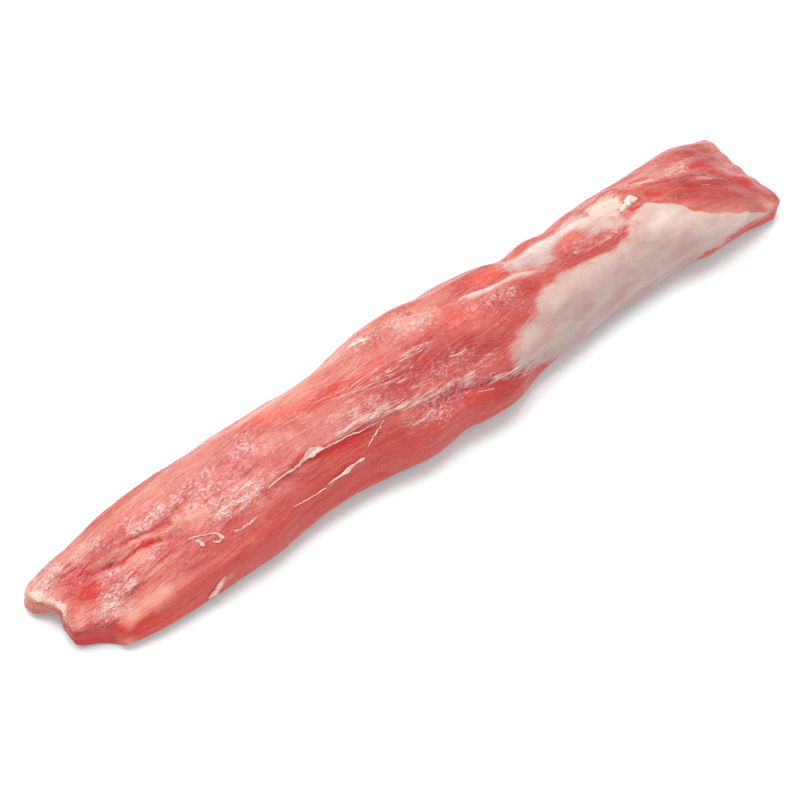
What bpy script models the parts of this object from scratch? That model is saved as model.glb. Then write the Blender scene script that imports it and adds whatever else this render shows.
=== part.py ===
"""A raw pork tenderloin lying flat: one long, tapering muscle as one closed solid.

The origin is the middle of its box, on the surface that it rests on. +X runs along the muscle from the
thin tail to the thick head, +Y points to its far side, whose shoulder is high, and -Y to its near side,
which carries the silverskin. A place on the muscle is given by two numbers: "at", the share of the
length from tail to head, and "turn", the angle round the section in degrees, which is 0 at the far
side, 90 on top, 180 at the near side and 270 underneath. Sizes are in millimetres.
"""

import math
from dataclasses import dataclass

import bmesh
import bpy
import numpy as np
from mathutils import Matrix, Vector

MM = 0.001  # Blender's metres in a millimetre

# Driving dimensions of the whole muscle
LENGTH = 360.0
TAIL_ROUNDING = 5.0
HEAD_ROUNDING = 3.6
END_BLUNTNESS = 3.4
WIDEST_SHARE = 0.42
SIDE_SQUARENESS = 2.4
BELLY_SQUARENESS = 2.6
BELLY_PRESSED_FLAT = 2.0

# How quickly the cuts at the two ends, the crown's lean and the relief fade
TAIL_CUT_FADE = 4
HEAD_CUT_FADE = 12
LEAN_POWER = 1.5
PATH_FADE_SHARE = 0.18
LIP_STEEPNESS = 1.6

# The low waves of the muscle bundles
BUNDLE_WAVES = 14
BUNDLE_HEIGHT = 0.30
BUNDLE_LENGTH = 85.0
BUNDLE_WIDTH = 11.0
BUNDLE_SPREAD = (0.7, 1.5)
BUNDLE_SEED = 5

# Mesh density: rings along the muscle, points round it, and how much closer they lie on top
RINGS = 106
RING_POINTS = 44
END_RINGS = 7
TOP_CROWDING = 0.45
PATH_SAMPLES = 40

# How the outward direction is measured: a small step along and round, kept clear of the two ends
STEP_AT = 0.002
STEP_TURN = 1.0
CLEAR_OF_ENDS = 0.02

# The ovals that make up a strip of fat: height over width, overlap in radii, slimness of the ends, detail
OVAL_FLATNESS = 0.6
OVAL_OVERLAP = 1.1
OVAL_END_SLIMNESS = 0.75
OVAL_DETAIL = 2

# Colours as red, green and blue in linear light, and how dull each surface is
MEAT_COLOUR = (0.68, 0.13, 0.10)
FAT_COLOUR = (0.85, 0.66, 0.55)
MEAT_ROUGHNESS = 0.38
FAT_ROUGHNESS = 0.42


@dataclass(frozen=True)
class Station:
    """One cross-section. near and far are its reach to -Y and +Y, and crown is its top's lean to +Y."""

    at: float
    near: float
    far: float
    height: float
    top_squareness: float
    crown: float


@dataclass(frozen=True)
class Swell:
    """A smooth bulge, or a hollow where height is negative. length and width are half-sizes of its oval."""

    at: float
    turn: float
    length: float
    width: float
    height: float


@dataclass(frozen=True)
class Seam:
    """A groove between two muscle bundles, along a path of (at, turn)."""

    path: tuple
    depth: float
    width: float


@dataclass(frozen=True)
class Lip:
    """The edge of an upper layer: raised above the path, cut in below it."""

    path: tuple
    height: float
    reach: float


@dataclass(frozen=True)
class Shred:
    """A strip of fat or silverskin that stands off the surface along a path."""

    name: str
    path: tuple
    radius: float
    lift: float


STATIONS = (
    Station(0.00, 18.5, 23.5, 12.0, 2.6, 0.0),
    Station(0.05, 21.5, 26.2, 15.5, 2.8, 0.0),
    Station(0.12, 24.3, 28.0, 22.0, 2.8, 0.0),
    Station(0.20, 25.5, 27.6, 27.0, 2.7, 0.0),
    Station(0.27, 23.6, 26.0, 29.5, 2.6, 0.0),
    Station(0.32, 24.2, 25.0, 31.0, 2.5, 0.0),
    Station(0.38, 27.4, 22.8, 33.0, 2.4, 0.0),
    Station(0.43, 30.4, 26.4, 34.0, 2.3, 0.0),
    Station(0.48, 28.8, 28.6, 35.0, 2.2, 0.0),
    Station(0.54, 31.2, 27.2, 36.0, 2.2, -1.0),
    Station(0.61, 25.6, 25.0, 37.0, 2.1, -2.0),
    Station(0.66, 24.4, 22.0, 37.0, 2.0, -3.0),
    Station(0.74, 22.6, 22.3, 36.0, 1.9, -4.0),
    Station(0.82, 23.2, 25.0, 35.5, 1.9, -7.0),
    Station(0.88, 27.0, 25.0, 32.5, 1.9, -8.0),
    Station(0.94, 26.0, 28.2, 24.0, 1.9, -8.0),
    Station(1.00, 25.5, 27.2, 11.0, 2.2, -5.0),
)

# Where the knife went through each end: (share across from near side -1 to far side 1, inset)
TAIL_CUT = (
    (-1.0, 15.0),
    (-0.8, 15.2),
    (-0.6, 11.2),
    (-0.4, 4.0),
    (-0.15, 4.0),
    (0.1, 5.5),
    (0.4, 4.0),
    (0.6, 1.2),
    (0.8, 0.2),
    (1.0, 3.0),
)
HEAD_CUT = ((-1.0, 6.5), (-0.8, 0.5), (-0.4, 1.4), (0.2, 0.6), (0.6, -2.6), (0.85, -6.2), (1.0, -8.2))

# The lifted sheet at the tail: how high its underside stands at the rim, and how far in that reaches
ARCH_HEIGHT = 5.5
ARCH_REACH = 16.0
ARCH_NEAR_EDGE = -6.0
ARCH_SLOPE = 5.0

# The round spots that the belly bears on, flat on z = 0: x, y and radius. Round each it rises over a short
# slope to stand a little clear of the surface, and that fades out by the height where the sides start.
FEET = ((-103.6, -9.1, 0.7), (-103.8, 10.1, 0.7), (100.5, -8.4, 0.7), (96.8, 13.3, 0.7), (0.0, 0.0, 7.5))
FOOT_SLOPE = 3.0
BELLY_LIFT = 0.65
BELLY_LIFT_FADE = 3.0

SWELLS = (
    # The tail end: a dished top between two raised rims, and a thin edge
    Swell(0.042, 80, 15, 8, -4.8),
    Swell(0.095, 99, 24, 8, -2.6),
    Swell(0.028, 48, 13, 6, 1.6),
    Swell(0.055, 143, 20, 5, 1.8),
    Swell(0.010, 112, 6, 9, 0.9),
    # The far shoulder, a round roll that stands above the near half
    Swell(0.20, 60, 40, 9, 1.4),
    Swell(0.33, 66, 44, 8, 2.6),
    Swell(0.43, 58, 24, 9, 2.6),
    Swell(0.50, 66, 18, 9, 1.4),
    # The middle bulge on top, and the bundle that rounds out its near side
    Swell(0.545, 92, 26, 12, 1.2),
    Swell(0.514, 178, 14, 9, 2.6),
    # The neck behind the bulge, and lumps along its far edge
    Swell(0.648, 48, 9, 13, -1.6),
    Swell(0.708, 48, 6, 12, -1.3),
    Swell(0.76, 40, 12, 8, 1.0),
    # The head: fat at the root of the cut facet, and the facet itself
    Swell(0.797, 54, 7, 6, 1.8),
    Swell(0.90, 78, 24, 10, -1.2),
    Swell(0.93, 40, 16, 8, 1.4),
)

SEAMS = (
    Seam(((0.075, 82), (0.095, 84), (0.125, 87), (0.155, 89)), 1.3, 1.8),
    Seam(((0.050, 84), (0.070, 87), (0.120, 94), (0.140, 97), (0.165, 100)), 1.7, 2.3),
    Seam(((0.035, 122), (0.055, 118), (0.090, 114), (0.135, 111), (0.155, 108)), 1.9, 2.3),
    Seam(((0.165, 89), (0.185, 91), (0.205, 92), (0.240, 93)), 0.9, 2.2),
    Seam(((0.290, 87), (0.350, 86), (0.395, 90), (0.430, 92), (0.460, 98), (0.500, 104)), 2.0, 3.6),
    Seam(((0.350, 150), (0.430, 138), (0.480, 146), (0.545, 160), (0.600, 170), (0.640, 178)), 1.5, 3.4),
    Seam(((0.530, 68), (0.555, 72), (0.595, 80), (0.635, 83), (0.680, 88)), 1.1, 2.8),
    Seam(((0.390, 121), (0.420, 127), (0.450, 133)), 1.0, 2.4),
    Seam(((0.690, 96), (0.735, 99), (0.780, 92)), 0.8, 3.0),
    Seam(((0.260, 205), (0.400, 212), (0.560, 205)), 1.0, 4.0),
    Seam(((0.180, 20), (0.330, 12), (0.470, 22)), 1.2, 4.0),
    Seam(((0.560, 18), (0.700, 8), (0.860, 20)), 1.2, 4.0),
)

LIPS = (
    Lip(((0.225, 117), (0.260, 116), (0.295, 115), (0.315, 120), (0.370, 121), (0.395, 121)), 1.3, 9.0),
    Lip(((0.240, 153), (0.290, 159), (0.310, 154), (0.350, 155), (0.370, 155)), 0.9, 7.0),
    Lip(((0.490, 149), (0.525, 152), (0.555, 151), (0.585, 161), (0.615, 172)), 0.9, 8.0),
    Lip(((0.820, 190), (0.870, 187), (0.915, 182), (0.985, 172)), 1.4, 12.0),
)

SHREDS = (
    Shred("flake_arc", ((0.139, 109), (0.151, 107), (0.167, 113), (0.177, 128)), 1.0, 0.0),
    Shred("flake_arc_root", ((0.147, 116), (0.158, 123)), 1.1, 0.0),
    Shred("flap_tip", ((0.268, 118), (0.292, 116), (0.312, 112), (0.330, 118)), 1.0, 0.1),
    Shred("lower_flap", ((0.300, 157), (0.313, 153), (0.330, 153)), 1.0, 0.0),
    Shred("side_tag", ((0.134, 195), (0.142, 184), (0.150, 173)), 1.4, 0.1),
    Shred("fat_nub", ((0.787, 80), (0.802, 76), (0.811, 78)), 1.6, 0.4),
    Shred("fat_root", ((0.776, 56), (0.800, 58)), 1.5, 0.0),
    Shred("corner_spike", ((0.050, 198), (0.043, 188), (0.037, 180)), 1.6, 0.3),
)


def smooth(x, knots):
    """The value at x of a smooth curve through (x, value) knots, which never overshoots them."""
    knot_x, knot_y = np.array(knots, float).T
    gap = np.diff(knot_x)
    rise = np.diff(knot_y) / gap
    slope = np.concatenate([rise[:1], np.zeros(len(rise) - 1), rise[-1:]])
    both = rise[:-1] * rise[1:] > 0
    pair = np.where(both, rise[:-1] + rise[1:], 1.0)
    slope[1:-1] = np.where(both, 2 * rise[:-1] * rise[1:] / pair, 0.0)
    i = np.clip(np.searchsorted(knot_x, x, side="right") - 1, 0, len(gap) - 1)
    t = np.clip((x - knot_x[i]) / gap[i], 0.0, 1.0)
    start = (2 * t**3 - 3 * t**2 + 1) * knot_y[i] + (t**3 - 2 * t**2 + t) * gap[i] * slope[i]
    end = (3 * t**2 - 2 * t**3) * knot_y[i + 1] + (t**3 - t**2) * gap[i] * slope[i + 1]
    return start + end


def station_value(at, field):
    """One field of the stations at any place along the muscle."""
    return smooth(at, [(station.at, getattr(station, field)) for station in STATIONS])


def rounded(value, squareness):
    """A cosine or sine made squarer, as a superellipse needs it."""
    return np.sign(value) * np.abs(value) ** (2.0 / squareness)


def plain_form(at, turn, fullness=1.0):
    """Points of the muscle before its relief. fullness shrinks a ring towards its middle, for the ends."""
    angle = np.radians(turn)
    near, far = station_value(at, "near"), station_value(at, "far")
    height = station_value(at, "height")
    across = rounded(np.cos(angle), SIDE_SQUARENESS)
    steepness = np.abs(np.sin(angle))
    waist = WIDEST_SHARE * height
    dome = (height - waist) * steepness ** (2.0 / station_value(at, "top_squareness"))
    belly = (waist + BELLY_PRESSED_FLAT) * steepness ** (2.0 / BELLY_SQUARENESS)
    z = waist + np.where(turn % 360.0 < 180.0, dome, -belly) * fullness
    lean = station_value(at, "crown") * np.clip((z - waist) / (height - waist), 0.0, 1.0) ** LEAN_POWER
    y = (far - near) / 2 + ((far + near) / 2 * across + lean) * fullness
    x = -LENGTH / 2 + at * LENGTH
    share = across * fullness
    x = x + (1.0 - at) ** TAIL_CUT_FADE * smooth(share, TAIL_CUT)
    x = x - at**HEAD_CUT_FADE * smooth(share, HEAD_CUT)
    return np.stack([x, y, z], axis=-1)


def outward(at, turn):
    """Unit vectors that point out of the muscle."""
    inside = np.clip(at, CLEAR_OF_ENDS, 1.0 - CLEAR_OF_ENDS)
    along = plain_form(inside + STEP_AT, turn) - plain_form(inside - STEP_AT, turn)
    around = plain_form(inside, turn + STEP_TURN) - plain_form(inside, turn - STEP_TURN)
    normal = np.cross(around, along)
    return normal / np.maximum(np.linalg.norm(normal, axis=-1, keepdims=True), 1e-9)


def path_samples(path, count=PATH_SAMPLES):
    """A path of (at, turn) as evenly spaced values along it."""
    share = np.linspace(0.0, 1.0, len(path))
    fine = np.linspace(0.0, 1.0, count)
    at = smooth(fine, list(zip(share, (p[0] for p in path))))
    turn = smooth(fine, list(zip(share, (p[1] for p in path))))
    return at, turn, fine


def nearest_on_path(points, turn, path):
    """Each point's distance to a path, positive above it, and how far along the path that place is."""
    path_at, path_turn, share = path_samples(path)
    line = plain_form(path_at, path_turn)
    gaps = np.linalg.norm(points[:, None, :] - line[None, :, :], axis=2)
    best = gaps.argmin(axis=1)
    side = np.where(turn > path_turn[best], -1.0, 1.0)
    return gaps[np.arange(len(points)), best] * side, share[best]


def fade_at_ends(share):
    """1 along the middle of a path, falling to 0 at both its ends."""
    return np.clip(np.minimum(share, 1.0 - share) / PATH_FADE_SHARE, 0.0, 1.0)


def bundle_waves(points):
    """The low, long swell of muscle bundles: a sum of waves with random directions and phases."""
    rng = np.random.default_rng(BUNDLE_SEED)
    total = np.zeros(len(points))
    for _ in range(BUNDLE_WAVES):
        heading = rng.uniform(0.0, 2.0 * math.pi)
        length = BUNDLE_LENGTH * rng.uniform(*BUNDLE_SPREAD)
        width = BUNDLE_WIDTH * rng.uniform(*BUNDLE_SPREAD)
        phase = rng.uniform(0.0, 2.0 * math.pi)
        sideways = points[:, 1] * math.cos(heading) + points[:, 2] * math.sin(heading)
        total += np.sin(2.0 * math.pi * (points[:, 0] / length + sideways / width) + phase)
    return BUNDLE_HEIGHT * total / math.sqrt(BUNDLE_WAVES / 2.0)


def relief(points, at, turn):
    """How far each point stands out of the plain form."""
    total = bundle_waves(points)
    for swell in SWELLS:
        middle = plain_form(np.array([swell.at]), np.array([float(swell.turn)]))[0]
        offset = points - middle
        sideways = np.hypot(offset[:, 1], offset[:, 2])
        total += swell.height * np.exp(-((offset[:, 0] / swell.length) ** 2) - (sideways / swell.width) ** 2)
    for seam in SEAMS:
        gap, share = nearest_on_path(points, turn, seam.path)
        total -= seam.depth * fade_at_ends(share) * np.exp(-((gap / seam.width) ** 2))
    for lip in LIPS:
        gap, share = nearest_on_path(points, turn, lip.path)
        step = np.tanh(gap / LIP_STEEPNESS) * np.exp(-np.abs(gap) / lip.reach)
        total += lip.height * fade_at_ends(share) * step
    return total


def ring_profile(row):
    """Turns a row number from 0 to 1 into (at, fullness): blunt rounded ends, then even steps between them."""
    end_rows = END_RINGS / RINGS
    body_at = (row - end_rows) / (1.0 - 2.0 * end_rows)
    tail_share, head_share = TAIL_ROUNDING / LENGTH, HEAD_ROUNDING / LENGTH
    angle = np.clip(np.minimum(row, 1.0 - row) / end_rows, 0.0, 1.0) * math.pi / 2.0
    fullness = rounded(np.sin(angle), END_BLUNTNESS)
    inset = 1.0 - rounded(np.cos(angle), END_BLUNTNESS)
    at = tail_share + np.clip(body_at, 0.0, 1.0) * (1.0 - tail_share - head_share)
    at = np.where(row < end_rows, tail_share * inset, at)
    at = np.where(row > 1.0 - end_rows, 1.0 - head_share * inset, at)
    return at, fullness


def shaped_points(row, turn):
    """The finished surface, in millimetres, for rows along the muscle and turns round it."""
    at, fullness = ring_profile(row)
    base = plain_form(at, turn, fullness)
    height = relief(plain_form(at, turn), at, turn)
    return lift_tail_sheet(base + outward(at, turn) * (height * fullness)[:, None], at)


def lift_tail_sheet(points, at):
    """Presses the belly flat on z = 0, and arches the thin tail sheet clear of it."""
    from_rim = at * LENGTH / ARCH_REACH
    from_near_edge = (points[:, 1] - ARCH_NEAR_EDGE) / ARCH_SLOPE
    arch = ARCH_HEIGHT * np.exp(-(from_rim**2)) / (1.0 + np.exp(-from_near_edge))
    points[:, 2] = np.maximum(points[:, 2], 0.0)
    points[:, 2] += arch * np.clip(1.0 - points[:, 2] / station_value(at, "height"), 0.0, 1.0)
    return points


def clear_scene():
    """Removes whatever the file holds."""
    for old in list(bpy.data.objects):
        bpy.data.objects.remove(old, do_unlink=True)


def new_collection(name):
    """An empty collection in the scene."""
    collection = bpy.data.collections.new(name)
    bpy.context.scene.collection.children.link(collection)
    return collection


def new_material(name, colour, roughness):
    """A plain material of one colour."""
    material = bpy.data.materials.new(name)
    material.use_nodes = True
    shader = material.node_tree.nodes["Principled BSDF"]
    shader.inputs["Base Color"].default_value = (*colour, 1.0)
    shader.inputs["Roughness"].default_value = roughness
    shader.inputs["Metallic"].default_value = 0.0
    return material


def make_muscle(collection, meat):
    """The whole muscle: a sphere whose rings are laid along the muscle and shaped to it."""
    shape = bmesh.new()
    bmesh.ops.create_uvsphere(shape, u_segments=RING_POINTS, v_segments=RINGS, radius=1.0)
    ball = np.array([vertex.co[:] for vertex in shape.verts])
    row = np.arccos(np.clip(-ball[:, 2], -1.0, 1.0)) / math.pi
    spin = np.arctan2(ball[:, 1], ball[:, 0])
    turn = np.degrees(spin + TOP_CROWDING * np.cos(spin)) % 360.0
    for vertex, point in zip(shape.verts, shaped_points(row, turn)):
        vertex.co = point * MM
    bmesh.ops.recalc_face_normals(shape, faces=shape.faces)
    mesh = bpy.data.meshes.new("pork_tenderloin")
    shape.to_mesh(mesh)
    shape.free()
    mesh.shade_smooth()
    mesh.materials.append(meat)
    muscle = bpy.data.objects.new("pork_tenderloin", mesh)
    collection.objects.link(muscle)
    return muscle


def make_shred(shred, collection, fat):
    """A strip of fat or skin, as a chain of overlapping ovals laid along its path."""
    at, turn, share = path_samples(shred.path, len(shred.path) + 1)
    base = plain_form(at, turn)
    surface = base + outward(at, turn) * (relief(base, at, turn) + shred.lift)[:, None]
    for number, (start, end) in enumerate(zip(surface[:-1], surface[1:])):
        along = Vector(end - start)
        swell = math.sin(math.pi * (share[number] + share[number + 1]) / 2.0)
        radius = shred.radius * (OVAL_END_SLIMNESS + (1.0 - OVAL_END_SLIMNESS) * swell)
        size = Vector((along.length / 2.0 + OVAL_OVERLAP * radius, radius, OVAL_FLATNESS * radius))
        oval = bmesh.new()
        bmesh.ops.create_icosphere(oval, subdivisions=OVAL_DETAIL, radius=1.0)
        bmesh.ops.scale(oval, vec=size * MM, verts=oval.verts)
        bmesh.ops.rotate(oval, matrix=along.to_track_quat("X", "Z").to_matrix(), verts=oval.verts)
        bmesh.ops.translate(oval, vec=Vector((start + end) / 2.0) * MM, verts=oval.verts)
        mesh = bpy.data.meshes.new(f"{shred.name}_{number + 1}")
        oval.to_mesh(mesh)
        oval.free()
        mesh.materials.append(fat)
        collection.objects.link(bpy.data.objects.new(mesh.name, mesh))


def fuse(muscle, collection):
    """Joins every shred to the muscle, and removes the shreds."""
    union = muscle.modifiers.new("fuse_shreds", "BOOLEAN")
    union.operation = "UNION"
    union.operand_type = "COLLECTION"
    union.collection = collection
    union.solver = "EXACT"
    union.material_mode = "TRANSFER"
    bpy.context.view_layer.objects.active = muscle
    bpy.ops.object.modifier_apply(modifier=union.name)
    for shred in list(collection.objects):
        bpy.data.objects.remove(shred)
    bpy.data.collections.remove(collection)


def stand_on_origin(muscle):
    """Moves the mesh so that the origin is the middle of its underside."""
    points = np.array([vertex.co[:] for vertex in muscle.data.vertices])
    middle = (points.min(axis=0) + points.max(axis=0)) / 2.0
    muscle.data.transform(Matrix.Translation((-middle[0], -middle[1], -points[:, 2].min())))


def lift_belly(muscle):
    """Lifts the belly a little clear of the surface between its feet."""
    points = np.array([vertex.co[:] for vertex in muscle.data.vertices]) / MM
    off_foot = np.full(len(points), np.inf)
    for x, y, radius in FEET:
        off_foot = np.minimum(off_foot, np.hypot(points[:, 0] - x, points[:, 1] - y) - radius)
    rise = 1.0 - np.exp(-((np.maximum(off_foot, 0.0) / FOOT_SLOPE) ** 2))
    points[:, 2] += BELLY_LIFT * rise * np.clip(1.0 - points[:, 2] / BELLY_LIFT_FADE, 0.0, 1.0)
    muscle.data.vertices.foreach_set("co", (points * MM).ravel())
    muscle.data.update()


def main():
    """Builds the muscle, fuses its shreds to it and stands it on its feet over the origin."""
    clear_scene()
    part = new_collection("pork_tenderloin")
    loose = new_collection("shreds")
    meat = new_material("raw_pork", MEAT_COLOUR, MEAT_ROUGHNESS)
    fat = new_material("fat", FAT_COLOUR, FAT_ROUGHNESS)
    muscle = make_muscle(part, meat)
    for shred in SHREDS:
        make_shred(shred, loose, fat)
    fuse(muscle, loose)
    stand_on_origin(muscle)
    lift_belly(muscle)


main()
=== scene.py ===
"""The looks of a raw pork tenderloin: wet red muscle, silverskin over its thick end, and the scraps of skin
and fat that cling to it.

A place on the muscle is given by two numbers: "at", the share of the length from tail to head, and "turn",
the angle round the section in degrees, which is 0 at the far side, 90 on top, 180 at the near side and 270
underneath. Sizes are in millimetres, and a mesh is scaled to metres when it is made.
"""

import itertools
import logging
import math
from collections.abc import Sequence
from dataclasses import dataclass, field
from enum import Enum

import bpy
import numpy as np
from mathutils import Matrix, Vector


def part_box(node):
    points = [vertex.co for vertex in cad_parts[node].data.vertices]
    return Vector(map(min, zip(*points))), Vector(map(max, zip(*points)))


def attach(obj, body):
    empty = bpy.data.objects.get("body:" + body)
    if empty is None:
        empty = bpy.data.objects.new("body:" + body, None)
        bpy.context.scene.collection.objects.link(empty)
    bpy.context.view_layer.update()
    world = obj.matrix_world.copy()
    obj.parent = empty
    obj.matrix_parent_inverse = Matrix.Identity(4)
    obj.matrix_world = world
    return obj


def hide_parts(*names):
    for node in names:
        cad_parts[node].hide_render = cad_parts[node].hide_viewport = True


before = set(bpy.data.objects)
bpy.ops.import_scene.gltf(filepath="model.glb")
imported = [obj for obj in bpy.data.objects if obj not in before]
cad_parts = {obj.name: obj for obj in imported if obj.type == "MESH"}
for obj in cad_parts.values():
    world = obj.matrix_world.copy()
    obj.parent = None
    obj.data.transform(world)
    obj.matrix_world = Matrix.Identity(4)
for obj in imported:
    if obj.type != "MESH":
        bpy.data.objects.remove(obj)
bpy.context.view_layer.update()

MM = 0.001
TINY = 1e-9
FULL_TURN = 360.0
FLOOR_GAP = 0.05
NODE = "pork_tenderloin"
BODY = "root"
LOG = logging.getLogger("tenderloin")

Array = np.ndarray
Knots = Sequence[tuple[float, float]]
Path = Sequence[tuple[float, float]]
Range = tuple[float, float]
Triple = tuple[float, float, float]
Edges = tuple[float, float, float, float]
Colour = Triple


def smooth(x: Array, knots: Knots) -> Array:
    """Reads a smooth curve through knots, a cubic between each two whose slopes never overshoot them.

    Args:
        x: where to read it.
        knots: (x, value) pairs in rising order of x.

    Returns:
        The value at each x.
    """
    knot_x, knot_y = np.array(knots, float).T
    gap = np.diff(knot_x)
    rise = np.diff(knot_y) / gap
    slope = np.concatenate([rise[:1], np.zeros(len(rise) - 1), rise[-1:]])
    both = rise[:-1] * rise[1:] > 0
    pair = np.where(both, rise[:-1] + rise[1:], 1.0)
    slope[1:-1] = np.where(both, 2 * rise[:-1] * rise[1:] / pair, 0.0)
    left = np.clip(np.searchsorted(knot_x, x, side="right") - 1, 0, len(gap) - 1)
    right = left + 1
    t = np.clip((x - knot_x[left]) / gap[left], 0.0, 1.0)
    start = (2 * t**3 - 3 * t**2 + 1) * knot_y[left] + (t**3 - 2 * t**2 + t) * gap[left] * slope[left]
    end = (3 * t**2 - 2 * t**3) * knot_y[right] + (t**3 - t**2) * gap[left] * slope[right]
    return start + end


def step(value: Array, low: float, high: float) -> Array:
    """Rises smoothly from 0 at low to 1 at high, as 3t^2 - 2t^3."""
    t = np.clip((value - low) / (high - low), 0.0, 1.0)
    return t * t * (3.0 - 2.0 * t)


def rounded(value: Array, squareness: float | Array) -> Array:
    """Makes a cosine or sine squarer, as a superellipse needs it."""
    return np.sign(value) * np.abs(value) ** (2.0 / squareness)


def band(value: Array, edges: Edges) -> Array:
    """Rises smoothly from 0 to 1 between the first two edges, and falls to 0 between the last two."""
    return step(value, *edges[:2]) * (1.0 - step(value, *edges[2:]))


def unit(vectors: Array) -> Array:
    """Scales vectors to a length of 1."""
    return vectors / np.maximum(np.linalg.norm(vectors, axis=-1, keepdims=True), TINY)


def circle(count: int) -> Array:
    """Spreads that many angles evenly round a circle, in radians."""
    return np.linspace(0.0, 2.0 * np.pi, count, endpoint=False)


def places_along(path: Path, share: Array) -> tuple[Array, Array]:
    """Reads a smooth curve through a path's knots, which are spread evenly along it.

    Args:
        path: (at, turn) pairs.
        share: shares of the way along.

    Returns:
        The at and the turn of each share.
    """
    knots = np.linspace(0.0, 1.0, len(path))
    at, turn = (smooth(share, list(zip(knots, column))) for column in zip(*path))
    return at, turn


def srgb(red: int, green: int, blue: int) -> Colour:
    """Turns a colour of 0 to 255 a channel, as a screen shows it, into linear light."""
    return tuple(
        shown / 12.92 if shown <= 0.04045 else ((shown + 0.055) / 1.055) ** 2.4
        for shown in (red / 255, green / 255, blue / 255)
    )


@dataclass(frozen=True)
class LatticeNoise:
    """Smooth random values in space, between -1 and 1.

    Each octave blends random values at the eight corners of a point's unit cell, and each finer octave
    has half the cell and half the weight of the one before.
    """

    seed: int
    octaves: int = 2

    AXIS_KEYS = np.array((73856093, 19349663, 83492791))
    SEED_KEY = 2654435761
    MIX_KEY = 1274126177
    FIRST_SHIFT = 13
    SECOND_SHIFT = 16
    TOP_KEY = 0xFFFF

    def read(self, points: Array) -> Array:
        """Reads the noise.

        Args:
            points: places, as rows of three, in units of the coarsest cell.

        Returns:
            One value for each place.
        """
        total = np.zeros(len(points))
        weight, reach = 1.0, 0.0
        for octave in range(self.octaves):
            total += weight * self._blend(points * 2.0**octave, self.seed + octave)
            reach += weight
            weight *= 0.5
        return total / reach

    def stretched(self, points: Array, cell: Triple) -> Array:
        """Reads the noise with a cell of its own length along each axis."""
        return self.read(points / np.array(cell))

    def _blend(self, points: Array, seed: int) -> Array:
        """Blends the random values at the corners of each point's cell."""
        base = np.floor(points).astype(np.int64)
        part = points - base
        part = part * part * (3.0 - 2.0 * part)
        total = np.zeros(len(points))
        for corner in itertools.product((0, 1), repeat=3):
            keys = (base + np.array(corner)) @ self.AXIS_KEYS + seed * self.SEED_KEY
            keys = (keys ^ (keys >> self.FIRST_SHIFT)) * self.MIX_KEY
            keys = (keys ^ (keys >> self.SECOND_SHIFT)) & self.TOP_KEY
            weight = np.prod(np.where(np.array(corner) == 1, part, 1.0 - part), axis=1)
            total += weight * (keys / (self.TOP_KEY / 2) - 1.0)
        return total


@dataclass(frozen=True)
class Texture:
    """A random relief: the seed, octaves and cell of its noise, and its height in millimetres."""

    seed: int
    octaves: int
    cell: Triple
    height: float

    def read(self, points: Array) -> Array:
        """Reads the relief at places given as rows of three."""
        return self.height * LatticeNoise(self.seed, self.octaves).stretched(points, self.cell)


@dataclass(frozen=True)
class Station:
    """One cross-section. near and far are its reach to -Y and +Y, and crown is its top's lean to +Y."""

    at: float
    near: float
    far: float
    height: float
    top_squareness: float
    crown: float


@dataclass(frozen=True)
class Swell:
    """A smooth bulge, or a hollow where height is negative. length and width are half-sizes of its oval."""

    at: float
    turn: float
    length: float
    width: float
    height: float


@dataclass(frozen=True)
class Groove:
    """A groove along a path of (at, turn), or a ridge where depth is negative."""

    path: Path
    depth: float
    width: float


@dataclass(frozen=True)
class Lip:
    """The edge of an upper layer: raised above the path, cut in below it."""

    path: Path
    height: float
    reach: float


@dataclass(frozen=True)
class Stroke:
    """A soft-edged mark along a path of (at, turn)."""

    path: Path
    width: float
    strength: float = 1.0


STATIONS = (
    Station(0.00, 18.5, 23.5, 12.0, 2.6, 0.0),
    Station(0.05, 21.5, 26.2, 15.5, 2.8, 0.0),
    Station(0.12, 24.3, 28.0, 22.0, 2.8, 0.0),
    Station(0.20, 25.5, 27.6, 27.0, 2.7, 0.0),
    Station(0.27, 23.6, 26.0, 29.5, 2.6, 0.0),
    Station(0.32, 24.2, 25.0, 31.0, 2.5, 0.0),
    Station(0.38, 27.4, 22.8, 33.0, 2.4, 0.0),
    Station(0.43, 30.4, 26.4, 34.0, 2.3, 0.0),
    Station(0.48, 28.8, 28.6, 35.0, 2.2, 0.0),
    Station(0.54, 31.2, 27.2, 36.0, 2.2, -1.0),
    Station(0.61, 25.6, 25.0, 37.0, 2.1, -2.0),
    Station(0.66, 24.4, 22.0, 37.0, 2.0, -3.0),
    Station(0.74, 22.6, 22.3, 36.0, 1.9, -4.0),
    Station(0.82, 23.2, 25.0, 35.5, 1.9, -7.0),
    Station(0.88, 27.0, 25.0, 32.5, 1.9, -8.0),
    Station(0.94, 26.0, 28.2, 24.0, 1.9, -8.0),
    Station(1.00, 25.5, 27.2, 11.0, 2.2, -5.0),
)

TAIL_CUT = (
    (-1.0, 15.0),
    (-0.8, 15.2),
    (-0.6, 11.2),
    (-0.4, 4.0),
    (-0.15, 4.0),
    (0.1, 5.5),
    (0.4, 4.0),
    (0.6, 1.2),
    (0.8, 0.2),
    (1.0, 3.0),
)
HEAD_CUT = ((-1.0, 6.5), (-0.8, 0.5), (-0.4, 1.4), (0.2, 0.6), (0.6, -2.6), (0.85, -6.2), (1.0, -8.2))

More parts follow.
